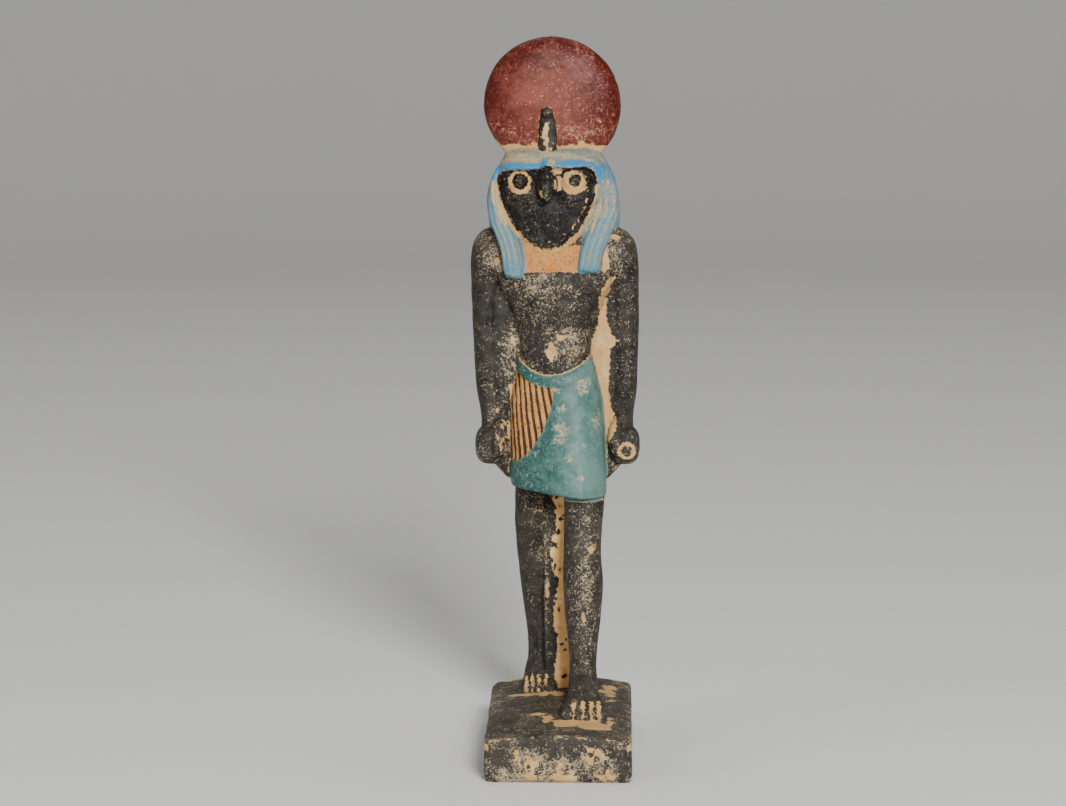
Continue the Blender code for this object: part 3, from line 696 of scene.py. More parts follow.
def wear_relief(points, proud):
    """Hand-made waviness, small pits, and chips off the edges, in drawn millimetres."""
    z = points[:, 2]
    moved = 0.22 * mottle(points, 13.0, 1) + 0.10 * mottle(points, 4.5, 2)
    moved += 0.035 * mottle(points, 1.3, 3)
    pits = step_up(0.62, 0.85, mottle(points, 1.5, 4)) * step_up(-0.2, 0.5, mottle(points, 6.0, 5))
    moved -= 0.22 * pits
    chips = step_up(0.30, 0.6, mottle(points, 2.4, 6)) * step_up(0.25, 0.7, proud)
    plinth_share = step_up(0, -1, z)
    moved -= (0.22 + 0.35 * plinth_share) * chips
    moved += 0.25 * plinth_share * mottle(points, 7.0, 7)
    return moved


def arrays(mesh):
    count = len(mesh.vertices)
    points, normals = np.empty(count * 3, np.float32), np.empty(count * 3, np.float32)
    mesh.vertices.foreach_get("co", points)
    mesh.vertices.foreach_get("normal", normals)
    return points.reshape(-1, 3).astype(float), normals.reshape(-1, 3).astype(float)


def put_points(mesh, points):
    mesh.vertices.foreach_set("co", points.astype(np.float32).ravel())
    mesh.update()


def put_values(mesh, name, values):
    attribute = mesh.attributes.new(name, "FLOAT", "POINT")
    attribute.data.foreach_set("value", values.astype(np.float32))


def without_pockets(mesh):
    """Drops the few tiny closed pockets that fusing leaves inside, so that one shell stays."""
    bm = bmesh.new()
    bm.from_mesh(mesh)
    unseen, shells = set(bm.verts), []
    while unseen:
        shell = [unseen.pop()]
        for vert in shell:
            for edge in vert.link_edges:
                other = edge.other_vert(vert)
                if other in unseen:
                    unseen.discard(other)
                    shell.append(other)
        shells.append(shell)
    shells.sort(key=len)
    bmesh.ops.delete(bm, geom=[vert for shell in shells[:-1] for vert in shell], context="VERTS")
    bm.to_mesh(mesh)
    bm.free()


def standing_proud(mesh, points, normals, rounds):
    """From -1 in a groove to 1 on an edge: how far a point stands out of those around it."""
    pairs = np.empty(len(mesh.edges) * 2, np.int32)
    mesh.edges.foreach_get("vertices", pairs)
    ends = np.concatenate([pairs[::2], pairs[1::2]])
    others = np.concatenate([pairs[1::2], pairs[::2]])
    degree = np.bincount(ends, minlength=len(points))[:, None]
    blurred = points
    for _ in range(rounds):
        sums = [np.bincount(ends, blurred[others, axis], len(points)) for axis in range(3)]
        blurred = 0.5 * blurred + 0.5 * np.stack(sums, axis=1) / degree
    out = ((points - blurred) * normals).sum(axis=1)
    return np.clip(out / 0.12, -1, 1)


def carved(mesh):
    """Cuts the relief, sets the face back in the wig's opening, wears the surface and leans it."""
    points, normals = arrays(mesh)
    x, y, z = points.T
    drawn = mesh.attributes.new("drawn", "FLOAT_VECTOR", "POINT")
    drawn.data.foreach_set("vector", points.astype(np.float32).ravel())
    opening = step_up(-0.2, 0.9, face_edge(x, z)) * step_up(151, 159, z) * (y < -3)
    points = points + normals * relief(points, normals)[:, None]
    points[:, 1] += FACE_DEPTH * opening
    put_points(mesh, points)
    _, normals = arrays(mesh)
    proud = standing_proud(mesh, points, normals, rounds=14)
    worn_by = wear_relief(points, proud) * step_up(-SOLES, -SOLES + 1.5, points[:, 2])
    points = points + normals * worn_by[:, None]
    points[:, 2] = np.where(points[:, 2] < -SOLES + 0.3, -SOLES, points[:, 2])
    points[:, 0] -= math.tan(LEAN) * np.maximum(points[:, 2], 0)
    put_points(mesh, points)
    put_values(mesh, "proud", proud)


# Where the paint has gone, as x, z, half width and half height on the front of the figure.
BARE_SPOTS = [
    (15.8, 137.4, 1.5, 5.0), (19.0, 144.2, 2.0, 1.4), (-17.7, 136.4, 1.2, 2.0),
    (-10.9, 130.2, 3.0, 0.35), (1.8, 113.6, 1.2, 1.0), (0.6, 126.2, 1.3, 0.6),
    (-13.4, 112.6, 0.7, 3.2), (-16.8, 85.8, 0.9, 1.2), (-18.6, 90.0, 0.5, 0.8),
    (-5.1, 60.8, 1.2, 0.6), (-6.6, 58.0, 1.4, 0.5), (10.1, 48.6, 1.2, 1.5),
    (9.2, 38.6, 0.5, 2.2), (7.8, 27.6, 0.6, 1.4), (-4.0, 31.5, 0.6, 3.6),
]
# Where it has thinned to a speckle, the same way.
WORN_SPOTS = [
    (-1.5, 129.4, 8.5, 4.6), (3.0, 111.5, 5.5, 4.6), (-13.5, 107.0, 3.2, 9.0),
    (8.2, 37.0, 2.0, 11.0), (8.8, 50.5, 2.2, 3.0), (-4.9, 47.0, 2.2, 15.0), (-7.4, 61.0, 4.6, 2.6),
    (-17.5, 138.0, 3.2, 4.4), (18.4, 137.0, 3.4, 6.0),
]
TEAL_CHIPS = [
    (7.7, 97.9, 1.9, 1.9), (9.3, 100.2, 0.9, 0.8), (1.9, 85.7, 2.0, 1.9), (0.8, 82.3, 1.4, 1.1),
    (3.6, 76.9, 0.7, 0.8), (11.9, 87.0, 0.7, 2.1), (8.5, 80.2, 1.0, 0.6), (1.7, 92.0, 0.9, 0.9),
    (-0.6, 97.6, 1.2, 0.6), (7.4, 70.6, 0.6, 0.7),
]
RED_CHIPS = [
    (8.5, 202.5, 2.2, 1.4), (11.5, 197.0, 1.8, 3.2), (14.5, 191.5, 1.4, 1.2),
    (-13.0, 176.5, 2.4, 2.6), (-8.0, 173.0, 2.2, 1.4), (7.5, 176.0, 3.2, 1.8),
    (14.0, 178.5, 2.6, 2.6), (-13.5, 193.5, 1.0, 1.0),
]
BEAK_PATCHES = [(1.9, 161.2, 1.3, 2.6), (-3.6, 158.4, 0.5, 1.4), (1.7, 165.0, 1.8, 1.3)]
BELLY_WEAR = (3.0, 111.0, 6.5, 6.0)
COBRA_FOOT_WEAR = (-0.2, 167.6, 1.3, 1.3)
# Fine bare lines on the right hand, as x and z.
VEINS = [[(-18.9, 83.2), (-17.6, 80.6), (-17.2, 76.6)], [(-16.2, 82.0), (-17.5, 80.4)]]
# The bare strip inside the left arm, as height, inner and outer edge.
BARE_STRIP = [
    (70.0, 13.0, 14.6), (76.0, 13.0, 15.4), (80.5, 13.2, 16.2), (84.3, 13.2, 18.2),
    (87.3, 13.6, 18.8), (91.0, 13.6, 16.9), (97.0, 12.9, 16.2), (105.0, 11.4, 16.7),
    (109.3, 10.6, 17.0), (112.0, 11.0, 20.2), (113.8, 12.0, 17.4), (118.0, 13.5, 16.0),
    (125.5, 13.8, 15.9), (128.4, 14.8, 17.0), (132.0, 16.9, 19.2),
]
# On the plinth: its front face by x and z, and its top by x and y.
PLINTH_FRONT_SPOTS = [
    (-8.2, -9.2, 6.6, 4.8), (-15.2, -12.2, 3.6, 2.4), (1.0, -10.8, 5.6, 4.2),
    (11.4, -8.6, 5.6, 4.2), (-12.4, -4.8, 1.8, 2.0), (10.5, -4.2, 3.2, 1.2),
    (-3.4, -13.2, 9.0, 1.6), (15.6, -11.4, 2.8, 3.0),
]
PLINTH_TOP_SPOTS = [
    (10.4, -49.2, 5.4, 5.6), (2.6, -48.0, 4.2, 4.6), (15.4, -40.0, 1.3, 6.5),
    (-3.4, -43.0, 2.0, 5.0), (-6.6, -35.0, 3.0, 1.8), (15.0, 0.0, 2.6, 9.0),
    (15.6, -14.0, 1.8, 3.4), (-8.0, -8.8, 5.4, 1.9), (-1.2, -9.6, 2.2, 3.0),
    (-13.4, -8.0, 2.6, 1.5), (-14.0, 15.4, 4.6, 1.2),
]
# Between the toes of each foot, as each mark's x, and their y, half width and half length.
FORWARD_GAPS, REAR_GAPS = (4.45, 7.25, 9.8, 12.15), (-4.8, -7.0, -9.1, -11.0)
TOE_MARKS = [
    (FORWARD_GAPS, -40.6, 0.72, 3.0), (REAR_GAPS, -2.6, 0.5, 2.4),
    (FORWARD_GAPS, -43.0, 0.25, 3.6), (REAR_GAPS, -4.6, 0.22, 3.0),
]


def spots(across, up, places):
    """Over 0 inside the nearest of these ovals, in millimetres from its edge."""
    inside = np.full(len(across), OFF)
    for middle, height, half_width, half_height in places:
        reach = np.hypot((across - middle) / half_width, (up - height) / half_height)
        inside = np.maximum(inside, min(half_width, half_height) * (1 - reach))
    return inside


def near_line(across, up, places, half_width):
    """Over 0 on a painted line through these places, in millimetres from its edge."""
    inside = np.full(len(across), OFF)
    here = np.stack([across, up], axis=1)
    for start, end in zip(np.array(places, float), np.array(places, float)[1:]):
        along = np.clip((here - start) @ (end - start) / ((end - start) @ (end - start)), 0, 1)
        gap = np.linalg.norm(here - start - along[:, None] * (end - start), axis=1)
        inside = np.maximum(inside, half_width - gap)
    return inside


def nearness(points, trees):
    """Over 0 on the surface that each form owns, in millimetres from the next form."""
    far, places, gaps, own = 40.0, points.tolist(), {}, {}
    for name, tree in trees.items():
        gaps[name] = np.array([tree.find_nearest(place, far)[3] or far for place in places])
    for name in gaps:
        others = np.min([gap for other, gap in gaps.items() if other != name], axis=0)
        own[name] = others - gaps[name]
    others = np.min([gap for name, gap in gaps.items() if name not in ("kilt", "body")], axis=0)
    own["hips"] = others - np.minimum(gaps["kilt"], gaps["body"])
    return own


def web_strip(x, z):
    """The bare stone inside the left arm, in millimetres from its uneven edges."""
    heights, inner, outer = np.array(BARE_STRIP).T
    inside = np.minimum(np.interp(z, heights, outer) - x, x - np.interp(z, heights, inner))
    return np.minimum.reduce([inside, 132 - z, z - 70])


class Surface:
    """The points to paint: where they lie, what they face and which form each is part of."""

    def __init__(self, points, normals, own):
        self.points = points
        self.x, self.y, self.z = points.T
        self.forward = -normals[:, 1]
        self.facing = 6 * (self.forward - 0.25)
        self.own = own
        self.ragged = 0.55 * self.mottle(2.6, 21) + 0.45 * self.mottle(1.2, 22)
        at_face = (self.y < -3) & (self.z > 139.5)
        self.opening = np.where(at_face, face_edge(self.x, self.z), OFF)
        self.head = np.maximum(own["wig"], own["head"])
        self.face = np.minimum(self.head, self.opening - 0.25)

    def mottle(self, size, seed, stretch=1):
        return mottle(self.points * stretch, size, seed)


def wig_reach(s):
    """Blue on the hood and its flaps, but not in the opening, at its peak or on the pillar."""
    x, y, z = s.x, s.y, s.z
    wig = np.minimum(s.head, -s.opening - 0.35 * step_up(163, 160, z))
    at_peak = (y < -8) & (z > 162) & (z < 166.6)
    wig = np.where(at_peak, np.minimum(wig, np.abs(x + 1.7) - 1.2), wig)
    flap_edge = np.where(x < 0, 8.5, 6.8) + 0.22 * np.maximum(z - 137.5, 0)
    wig = np.where((y < -3) & (z < 150), np.minimum(wig, np.abs(x) - flap_edge), wig)
    on_pillar = (y > 12) & (np.abs(x) < PILLAR_WIDTH / 2 + 0.2) & (z < PILLAR_TOP + 0.2)
    return np.where(on_pillar, OFF, wig)


def collar_reach(s):
    """Ochre between the two flaps, under the bib."""
    stone = np.maximum(s.own["body"], s.own["webs"])
    sides = 9.8 - np.abs(s.x)
    return np.minimum.reduce([stone, s.z - 133.9, sides, 142 - s.z, s.facing, -s.opening - 0.1])


def cloth_reach(s):
    """The kilt and its belt. Where kilt and body coincide they own the place together."""
    x, y, z = s.x, s.y, s.z
    free = np.where((y < -4.4) | (y > 8.5), 5.0, OFF)
    covered = np.where(s.own["kilt"] > 0, 5.0, np.minimum(free, 13.5 - np.abs(x)))
    below_belt = belt_edges(x)[0] - z
    above_hem = np.where(z > 63, 5.0, OFF)
    cloth = np.minimum.reduce([s.own["hips"], covered, below_belt, above_hem])
    return np.where(y < WEB_BACK, cloth, np.minimum(cloth, s.own["kilt"]))


def bare_face(s):
    """The rings of the eyes, the patches beside the beak and a crease along the left cheek."""
    x, z = s.x, s.z
    eye, pupil = eye_edges(x, z)
    rings = np.minimum(np.minimum(eye, s.facing), -pupil)
    patches = np.minimum(spots(x, z, BEAK_PATCHES), s.facing)
    tan = np.maximum(rings, patches) + 0.35 * s.ragged
    at_cheek = (x > 2) & (z > 145) & (z < 157)
    crease = np.where(at_cheek, 0.1 + 0.6 * s.ragged - np.abs(s.opening - 2.1), OFF)
    return np.where(s.face > 0, np.maximum(tan, crease), OFF)


def bare_cobra(s):
    middle = np.minimum.reduce([s.own["cobra"], 0.8 + 2.4 * s.ragged - np.abs(s.x + 1.5), s.facing])
    return np.where(s.z < 180.2, middle, OFF)


def bare_arm_webs(s):
    """The stone inside the left arm, and a narrow strip of it beside the right fist."""
    x, y, z = s.x, s.y, s.z
    stone = np.maximum(s.own["webs"], s.own["body"])
    left = np.minimum.reduce([stone, web_strip(x, z), 5 + s.facing])
    left = np.where((x > 11) & (y < 4) & (z > 66), left, OFF)
    strip = 15.0 - 0.4 * step_up(84, 97, z) + 0.3 * np.sin(z / 2.1) + x
    right = np.where((x < -11) & (z > 66) & (z < 98) & (y < 1), strip + 0.8 * s.ragged, OFF)
    return np.maximum(left, right)


def bare_leg_web(s):
    """The strip between the legs: clean at its foot, flecked above it and frayed at the hem."""
    x, z = s.x, s.z
    left_edge = 1.6 + 0.5 * np.sin(z / 3.1) + 1.3 * step_up(34, 46, z)
    strip = np.minimum.reduce([s.own["webs"], x + left_edge, 66 - z, 8 - np.abs(x)])
    strip = strip + 1.3 * step_up(0.3, 1.0, strip) * step_up(32, 26, z)
    flecks = 3.0 * step_up(30, 40, z) * step_up(0.2, 0.45, s.mottle(0.85, 23) - 0.08 * x)
    frayed = 1.5 * step_up(44, 56, z)
    return np.where(s.y < WEB_BACK, strip - (frayed + flecks), OFF)


def bare_hands(s):
    """The ring on the end of the roll in the left fist, and the veins on the right one."""
    roll = np.hypot(s.x - ROLL_X, s.z - ROLL_Z)
    ring = np.where(s.y < -8.0, 0.55 - np.abs(roll - 2.2), OFF)
    veins = np.maximum.reduce([near_line(s.x, s.z, vein, 0.28) for vein in VEINS])
    return np.maximum(ring, np.where(s.y < -6, veins, OFF))


def bare_body(s):
    """The navel, and the spots that have lost their paint."""
    navel = 1.6 * (1 - np.abs(s.x + 1.3) / 1.9 - np.abs(s.z - 109.2) / 3.4)
    lost = spots(s.x, s.z, BARE_SPOTS) + 1.1 * s.ragged - 0.2
    return np.minimum(np.maximum(lost, navel), s.facing)


def front_spots(s):
    return np.where(s.y < PLINTH_FRONT + 2.5, spots(s.x, s.z, PLINTH_FRONT_SPOTS), OFF)


def bare_plinth(s):
    """The plinth's bare patches in front and on top, its front ridge and its two front corners."""
    x, y, z = s.x, s.y, s.z
    top = spots(x, y, PLINTH_TOP_SPOTS) + 1.6 * s.ragged + 0.6 * s.mottle(5.5, 24)
    top = np.where(z > PLINTH_TOP_EDGE, top, OFF)
    ridge = 0.4 * s.ragged - 0.1 - np.abs(z + 0.45 + 0.0045 * x**2)
    ridge = np.where(y < PLINTH_FRONT + 1.4, ridge, OFF)
    corners = spots(np.abs(x), z, [(21.6, -3.8, 0.8, 1.3)])
    corners = np.where(y < PLINTH_FRONT + 3, corners, OFF)
    lost = np.maximum.reduce([front_spots(s) - 1.1 + 3.2 * s.ragged, top, ridge, corners])
    return np.where(s.own["plinth"] > -0.3, lost, OFF)


def bare_toes(s):
    """The gaps between the toes, and the fine lines that run on from them."""
    marks = [
        spots(s.x, s.y, [(gap, middle, half_width, half_length) for gap in gaps])
        for gaps, middle, half_width, half_length in TOE_MARKS
    ]
    return np.where((s.z < 5.4) & (s.z > -0.8), np.maximum.reduce(marks), OFF)


def body_wear(s):
    """How worn, from 0 to 1, and how thin the black is on the body, the cobra and the plinth."""
    x, y, z = s.x, s.y, s.z
    on_body, on_plinth = s.own["body"] > 0, s.own["plinth"] > 0
    off_plinth = s.own["plinth"] < 0
    worn = 0.262 + 0.08 * s.mottle(8.0, 11) + 0.07 * s.mottle(3.0, 12)
    worn = worn + 0.16 * step_up(-2.0, 1.6, np.minimum(spots(x, z, WORN_SPOTS), s.facing + 2))
    worn = worn + 0.09 * step_up(139, 147, z) * on_body
    worn = worn + 0.08 * step_up(-3, 2, spots(x, z, [BELLY_WEAR]))
    on_arms = step_up(15, 18, np.abs(x)) * step_up(137, 128, z) * (z > 80)
    worn = worn - np.where(x > 0, 0.075, 0.055) * on_arms
    worn = worn - np.where(x > 0, 0.01, 0.06) * step_up(64, 60, z) * off_plinth
    worn = worn - 0.06 * step_up(12, 6, z) * off_plinth

    streaks = s.mottle(5.0, 26, stretch=(1, 0.5, 1))
    worn = worn + on_plinth * (z > PLINTH_TOP_EDGE) * (0.065 + 0.11 * streaks)
    worn = worn - 0.07 * (y < PLINTH_FRONT + 1.2) * step_up(-3.4, -2.2, z) * step_up(-0.4, -1.0, z)
    worn = worn + 0.30 * step_up(-1.6, 1.0, front_spots(s) + s.ragged)
    worn = np.where((s.own["cobra"] > 0) & (z > 168), 0.10, worn)

    thin = 0.16 + 0.3 * s.mottle(7.0, 28)
    thin = thin + 0.5 * step_up(136, 146, z) * on_body + 0.25 * step_up(64, 50, z)
    on_top = 0.85 + 0.4 * s.mottle(6.0, 27) + 0.3 * streaks
    return worn, np.where(on_plinth & (z > -3), on_top, thin)


def face_wear(s):
    """How worn and how thin the black is on the face, which is deepest above the cheeks."""
    lower = step_up(160, 152, s.z)
    worn = 0.10 + 0.06 * s.mottle(3.0, 15) + 0.04 * lower
    return worn, (0.2 + 0.7 * s.mottle(2.0, 25)) * lower - 0.35


def wig_wear(s):
    """How worn and how thin the blue is, and the plain band over the brow."""
    x, z = s.x, s.z
    outside = np.where(s.opening > OFF + 1, -s.opening, -OFF)
    band = 1.75 - 0.7 * step_up(11.0, 14.0, np.abs(x + 1.9)) + 0.5 * s.ragged
    above_band = (outside > band) * step_up(161.5, 163.5, z) * (np.abs(x + 1) < 15)
    crown = np.where(outside < band, 0, np.maximum(above_band, step_up(166.0, 167.6, z)))
    brow = (outside < band) & (z > 161.5)
    beside = outside + 1.2 * s.ragged
    below_brow = step_up(163, 161.5, z)
    inner_left = step_up(2.7, 1.9, beside) * (x < 0) * step_up(147, 150, z) * below_brow
    inner_right = step_up(3.8, 2.6, beside) * (x > 0) * step_up(144, 148, z) * below_brow
    pale_right = 0.22 * step_up(163, 160, z) * step_up(144, 152, z) * (x > 8)
    smeared = 0.43 + 0.3 * s.mottle(1.7, 19, stretch=(0.35, 1, 1))
    worn = 0.17 + 0.07 * s.mottle(3.0, 16) + crown * smeared
    worn = np.maximum(worn + pale_right, np.maximum(0.8 * inner_left, 0.62 * inner_right))
    worn = np.where(brow, 0.12, worn) + 0.6 * step_up(-0.3, 0.5, spots(x, z, [COBRA_FOOT_WEAR]))
    thin = np.where(brow, -0.1, 0.3) + 0.6 * crown + pale_right + 0.3 * step_up(158, 146, z)
    return worn, thin, brow


def disc_wear(s):
    """How worn and how thin the red is: a painted highlight in its middle, painted shade at its rim
    and towards the figure's left, and dust at its foot.
    """
    x, z = s.x, s.z
    middle = BODY_HEIGHT + DISC_RADIUS - DISC_SINK
    from_middle = np.hypot(x + 0.4, z - middle - 2) / DISC_RADIUS
    worn = 0.13 + 0.13 * step_up(-1.5, 0.9, np.minimum(spots(x, z, RED_CHIPS) + s.ragged, s.facing))
    worn = worn + 0.12 * step_up(186, 174, z) + 0.05 * s.mottle(5.0, 13)
    # More flaking towards the middle is part of the painted highlight.
    worn = worn + 0.09 * step_up(0.8, 0.3, from_middle)
    worn = worn - 0.06 * step_up(-3, -13, x) * step_up(179, 185, z)
    # Paler towards the middle is a painted highlight, and deeper at the rim is painted shade.
    thin = 0.95 * step_up(0.95, 0.1, from_middle) - 0.2 + 0.3 * s.mottle(9, 17)
    # Deeper red towards the figure's left is painted shade.
    return worn, thin + 0.3 * step_up(184, 173, z) - 0.25 * step_up(9, 17, x)


def cloth_wear(s):
    """How worn and how thin the teal is: chipped, palest at the figure's left as painted light, and
    deepest at its right as painted shade.
    """
    chips = np.minimum(spots(s.x, s.z, TEAL_CHIPS), s.facing)
    worn = 0.13 + 0.48 * step_up(-1.1, 0.5, chips + 0.9 * s.ragged) + 0.06 * s.mottle(7.0, 14)
    # Paler towards the figure's left and deeper towards its right: painted light and shade.
    return worn, step_up(-9, 9, s.x) - 0.42 + 0.3 * s.mottle(12, 18)


def strand_run(s):
    """Millimetres across the wig's strands: on a flap from its middle, elsewhere round the hood."""
    on_right, on_left = (near_form(s.points, rows)[1] for rows in (RIGHT_FLAP, LEFT_FLAP))
    on_flap = (s.y < -3) & (np.abs(s.x) > 7) & (s.z < 164)
    around_hood = HOOD_STRANDS * hood_angle(s.x, s.y) * STRAND_PITCH / math.tau
    return np.where(on_flap, np.where(s.x > 0, on_left, on_right) + STRAND_SHIFT, around_hood)


def painted(points, normals, own):
    """Each paint's reach in millimetres, over 0 where it lies, how worn and thin it is, and where
    light is painted.
    """
    s = Surface(points, normals, own)
    x, y, z = s.x, s.y, s.z
    upper, lower = belt_edges(x)
    wig, collar, cloth = wig_reach(s), collar_reach(s), cloth_reach(s)
    red = np.minimum(own["disc"] - 0.1, z - 172.4 - 2.4 * np.maximum(s.mottle(2.2, 20), 0))
    pleats = np.minimum.reduce([cloth, pleat_reach(x, z), lower - z, s.facing])
    teal = np.minimum(cloth - 0.25, -pleat_reach(x, z))
    teal = np.where((s.facing < 0) | (z > lower), cloth - 0.15, teal)

    leg_web = bare_leg_web(s)
    bib_margin = np.where((s.head > -0.2) & (z < 161), 0.7 - np.abs(s.opening + 0.3), OFF)
    belt_line = np.where((y < -5) & (np.abs(x) < 13), 0.45 - np.abs(upper - z - 0.1), OFF)
    bare = np.maximum.reduce([
        leg_web, bib_margin, belt_line, bare_arm_webs(s), bare_hands(s), bare_body(s),
        bare_plinth(s), bare_toes(s), bare_face(s), bare_cobra(s),
    ])
    other_paint = np.maximum.reduce([red, wig, collar, cloth, own["disc"], own["cobra"] - 9])

    worn, thin = body_wear(s)
    wig_worn, wig_thin, brow = wig_wear(s)
    for here, part_worn, part_thin in (
        (s.face > 0, *face_wear(s)),
        (wig > 0, wig_worn, wig_thin),
        (own["disc"] > 0, *disc_wear(s)),
        (cloth > 0, *cloth_wear(s)),
    ):
        worn, thin = np.where(here, part_worn, worn), np.where(here, part_thin, thin)
    thin = np.where(pleats > -0.4, 0.35, np.where(collar > -0.4, -0.3, thin))

    plain = 1.2 * step_up(138, 134.5, z) + 1.6 * step_up(163, 165, z) * step_up(-6, -10, y)
    return {
        "black": np.minimum(-bare, -other_paint),
        "red": red,
        "blue": wig,
        "strands": np.minimum(wig - 0.5, np.where(brow, -1.0, 1.0)) - plain,
        "teal": teal,
        "ochre": np.maximum(collar, pleats),
        "pleats": pleats,
        "worn": np.clip(worn, 0, 1),
        # On the disc and the kilt, thin also holds painted light and shade.
        "thin": np.clip(thin, -0.5, 1),
        # Painted light: the forward-facing bare strip between the legs is made brighter.
        "painted_light": step_up(-0.6, 0.6, leg_web) * step_up(0.2, 0.8, s.forward),
        "pleat_run": pleat_run(x, z),
        "strand_run": strand_run(s),
    }


def figure_mesh():
    """The whole casting as one fine mesh in its place, with its paints' reaches on its points."""
    forms = figure_forms()
    trees = {}
    for name, shapes in forms.items():
        whole = joined(shapes)
        trees[name] = BVHTree.FromBMesh(whole)
        forms[name] = [whole]
    clay = bpy.data.meshes.new("clay")
    whole = joined([bm for shapes in forms.values() for bm in shapes])
    whole.to_mesh(clay)
    whole.free()
    clay = shaped(
        clay,
        ("REMESH", {"mode": "VOXEL", "voxel_size": GRID}),
        ("SMOOTH", {"factor": 0.5, "iterations": 4}),
    )
    carved(clay)
    clay.calc_loop_triangles()
    ratio = min(1, TRIANGLES / len(clay.loop_triangles))
    clay = shaped(clay, ("DECIMATE", {"ratio": ratio, "use_collapse_triangulate": True}))
    without_pockets(clay)

    count = len(clay.vertices)
    drawn = np.empty(count * 3, np.float32)
    clay.attributes["drawn"].data.foreach_get("vector", drawn)
    clay.attributes.remove(clay.attributes["drawn"])
    drawn = drawn.reshape(-1, 3).astype(float)
    _, normals = arrays(clay)
    for name, values in painted(drawn, normals, nearness(drawn, trees)).items():
        put_values(clay, name, values)
    clay.transform(Matrix.Scale(MM, 4) @ Matrix.Translation((0, BODY_Y, SOLES)))
    clay.shade_smooth()
    return clay


COLOUR, NUMBER, VECTOR = "NodeSocketColor", "NodeSocketFloat", "NodeSocketVector"


class Wiring:
    """A short way to place nodes and join them in one node tree."""

    def __init__(self, tree):
        self.tree = tree

    def node(self, kind, inputs=(), **settings):
        made = self.tree.nodes.new(kind)
        for name, value in settings.items():
            setattr(made, name, value)
        for name, value in dict(inputs).items():
            socket = made.inputs[name]
            if isinstance(value, bpy.types.NodeSocket):
                self.tree.links.new(value, socket)
            else:
                socket.default_value = value
        return made

    def math(self, operation, first, second=0.0, third=0.0, clamp=False):
        inputs = {0: first, 1: second, 2: third}
        return self.node("ShaderNodeMath", inputs, operation=operation, use_clamp=clamp).outputs[0]

    def rise(self, value, low, high, bottom=0.0, top=1.0):
        ends = {"From Min": low, "From Max": high, "To Min": bottom, "To Max": top}
        inputs = {"Value": value, **ends}
        return self.node("ShaderNodeMapRange", inputs, interpolation_type="SMOOTHSTEP").outputs[0]

    def blend(self, share, first, second, kind="MIX"):
        made = self.node("ShaderNodeMix", data_type="RGBA", blend_type=kind)
        for number, value in ((0, share), (6, first), (7, second)):
            if isinstance(value, bpy.types.NodeSocket):
                self.tree.links.new(value, made.inputs[number])
            else:
                made.inputs[number].default_value = value
        return made.outputs[2]

    def noise(self, place, scale, detail=3.0, roughness=0.55):
        inputs = {"Vector": place, "Scale": scale, "Detail": detail, "Roughness": roughness}
        return self.node("ShaderNodeTexNoise", inputs).outputs["Fac"]


def node_group(name, inputs, outputs):
    """An empty shader node group: its wiring, the sockets it is given and the sockets it fills.

    Each input is given as its socket's kind or, for a number, as the value it starts from.
    """
    tree = bpy.data.node_groups.new(name, "ShaderNodeTree")
    for socket, start in inputs.items():
        kind = start if isinstance(start, str) else NUMBER
        made = tree.interface.new_socket(socket, in_out="INPUT", socket_type=kind)
        if kind == NUMBER:
            made.default_value = start
    for socket, kind in outputs.items():
        tree.interface.new_socket(socket, in_out="OUTPUT", socket_type=kind)
    wiring = Wiring(tree)
    return wiring, wiring.node("NodeGroupInput").outputs, wiring.node("NodeGroupOutput").inputs


def paint_layer():
    """A coat of old paint: ragged at its edge, flaked in specks and uneven in its colour."""
    wiring, given, out = node_group(
        "paint_layer",
        {
            "Place": VECTOR, "Under": COLOUR, "Paint": COLOUR, "Thin Paint": COLOUR,
            "Flake": COLOUR, "Reach": 0.0, "Ragged": 0.5, "Worn": 0.2, "Thin": 0.2, "Height": 0.0,
        },
        {"Color": COLOUR, "Cover": NUMBER, "Height": NUMBER},
    )
    place = given["Place"]
    torn = wiring.math("SUBTRACT", wiring.noise(place, 900, 5, 0.68), 0.5)
    torn = wiring.math("MULTIPLY", torn, 6.0)
    reach = wiring.math("MULTIPLY_ADD", torn, given["Ragged"], given["Reach"])
    kept = wiring.rise(reach, -0.09, 0.09)
    specks = 0.5
    for size, share in ((2100, 1.9), (900, 1.0), (330, 0.65)):
        flakes = wiring.math("SUBTRACT", wiring.noise(place, size, 3, 0.62), 0.5)
        specks = wiring.math("MULTIPLY_ADD", flakes, share, specks)
    low = wiring.math("SUBTRACT", given["Worn"], 0.17)
    high = wiring.math("ADD", given["Worn"], 0.10)
    whole = wiring.rise(specks, low, high)
    uneven = wiring.rise(wiring.noise(place, 300, 5, 0.66), 0.38, 0.68)
    worn_thin = wiring.rise(specks, high, wiring.math("ADD", high, 0.26), 0.8, 0.0)
    uneven = wiring.math("ADD", wiring.math("MULTIPLY", uneven, 0.6), given["Thin"], clamp=True)
    uneven = wiring.math("MAXIMUM", uneven, worn_thin, clamp=True)
    coat = wiring.blend(uneven, given["Paint"], given["Thin Paint"])
    coat = wiring.blend(whole, given["Flake"], coat)
    links = wiring.tree.links.new
    cover = wiring.math("MULTIPLY", kept, whole, clamp=True)
    links(wiring.blend(kept, given["Under"], coat), out["Color"])
    links(cover, out["Cover"])
    links(wiring.math("MULTIPLY_ADD", cover, 0.5, given["Height"]), out["Height"])
    return wiring.tree


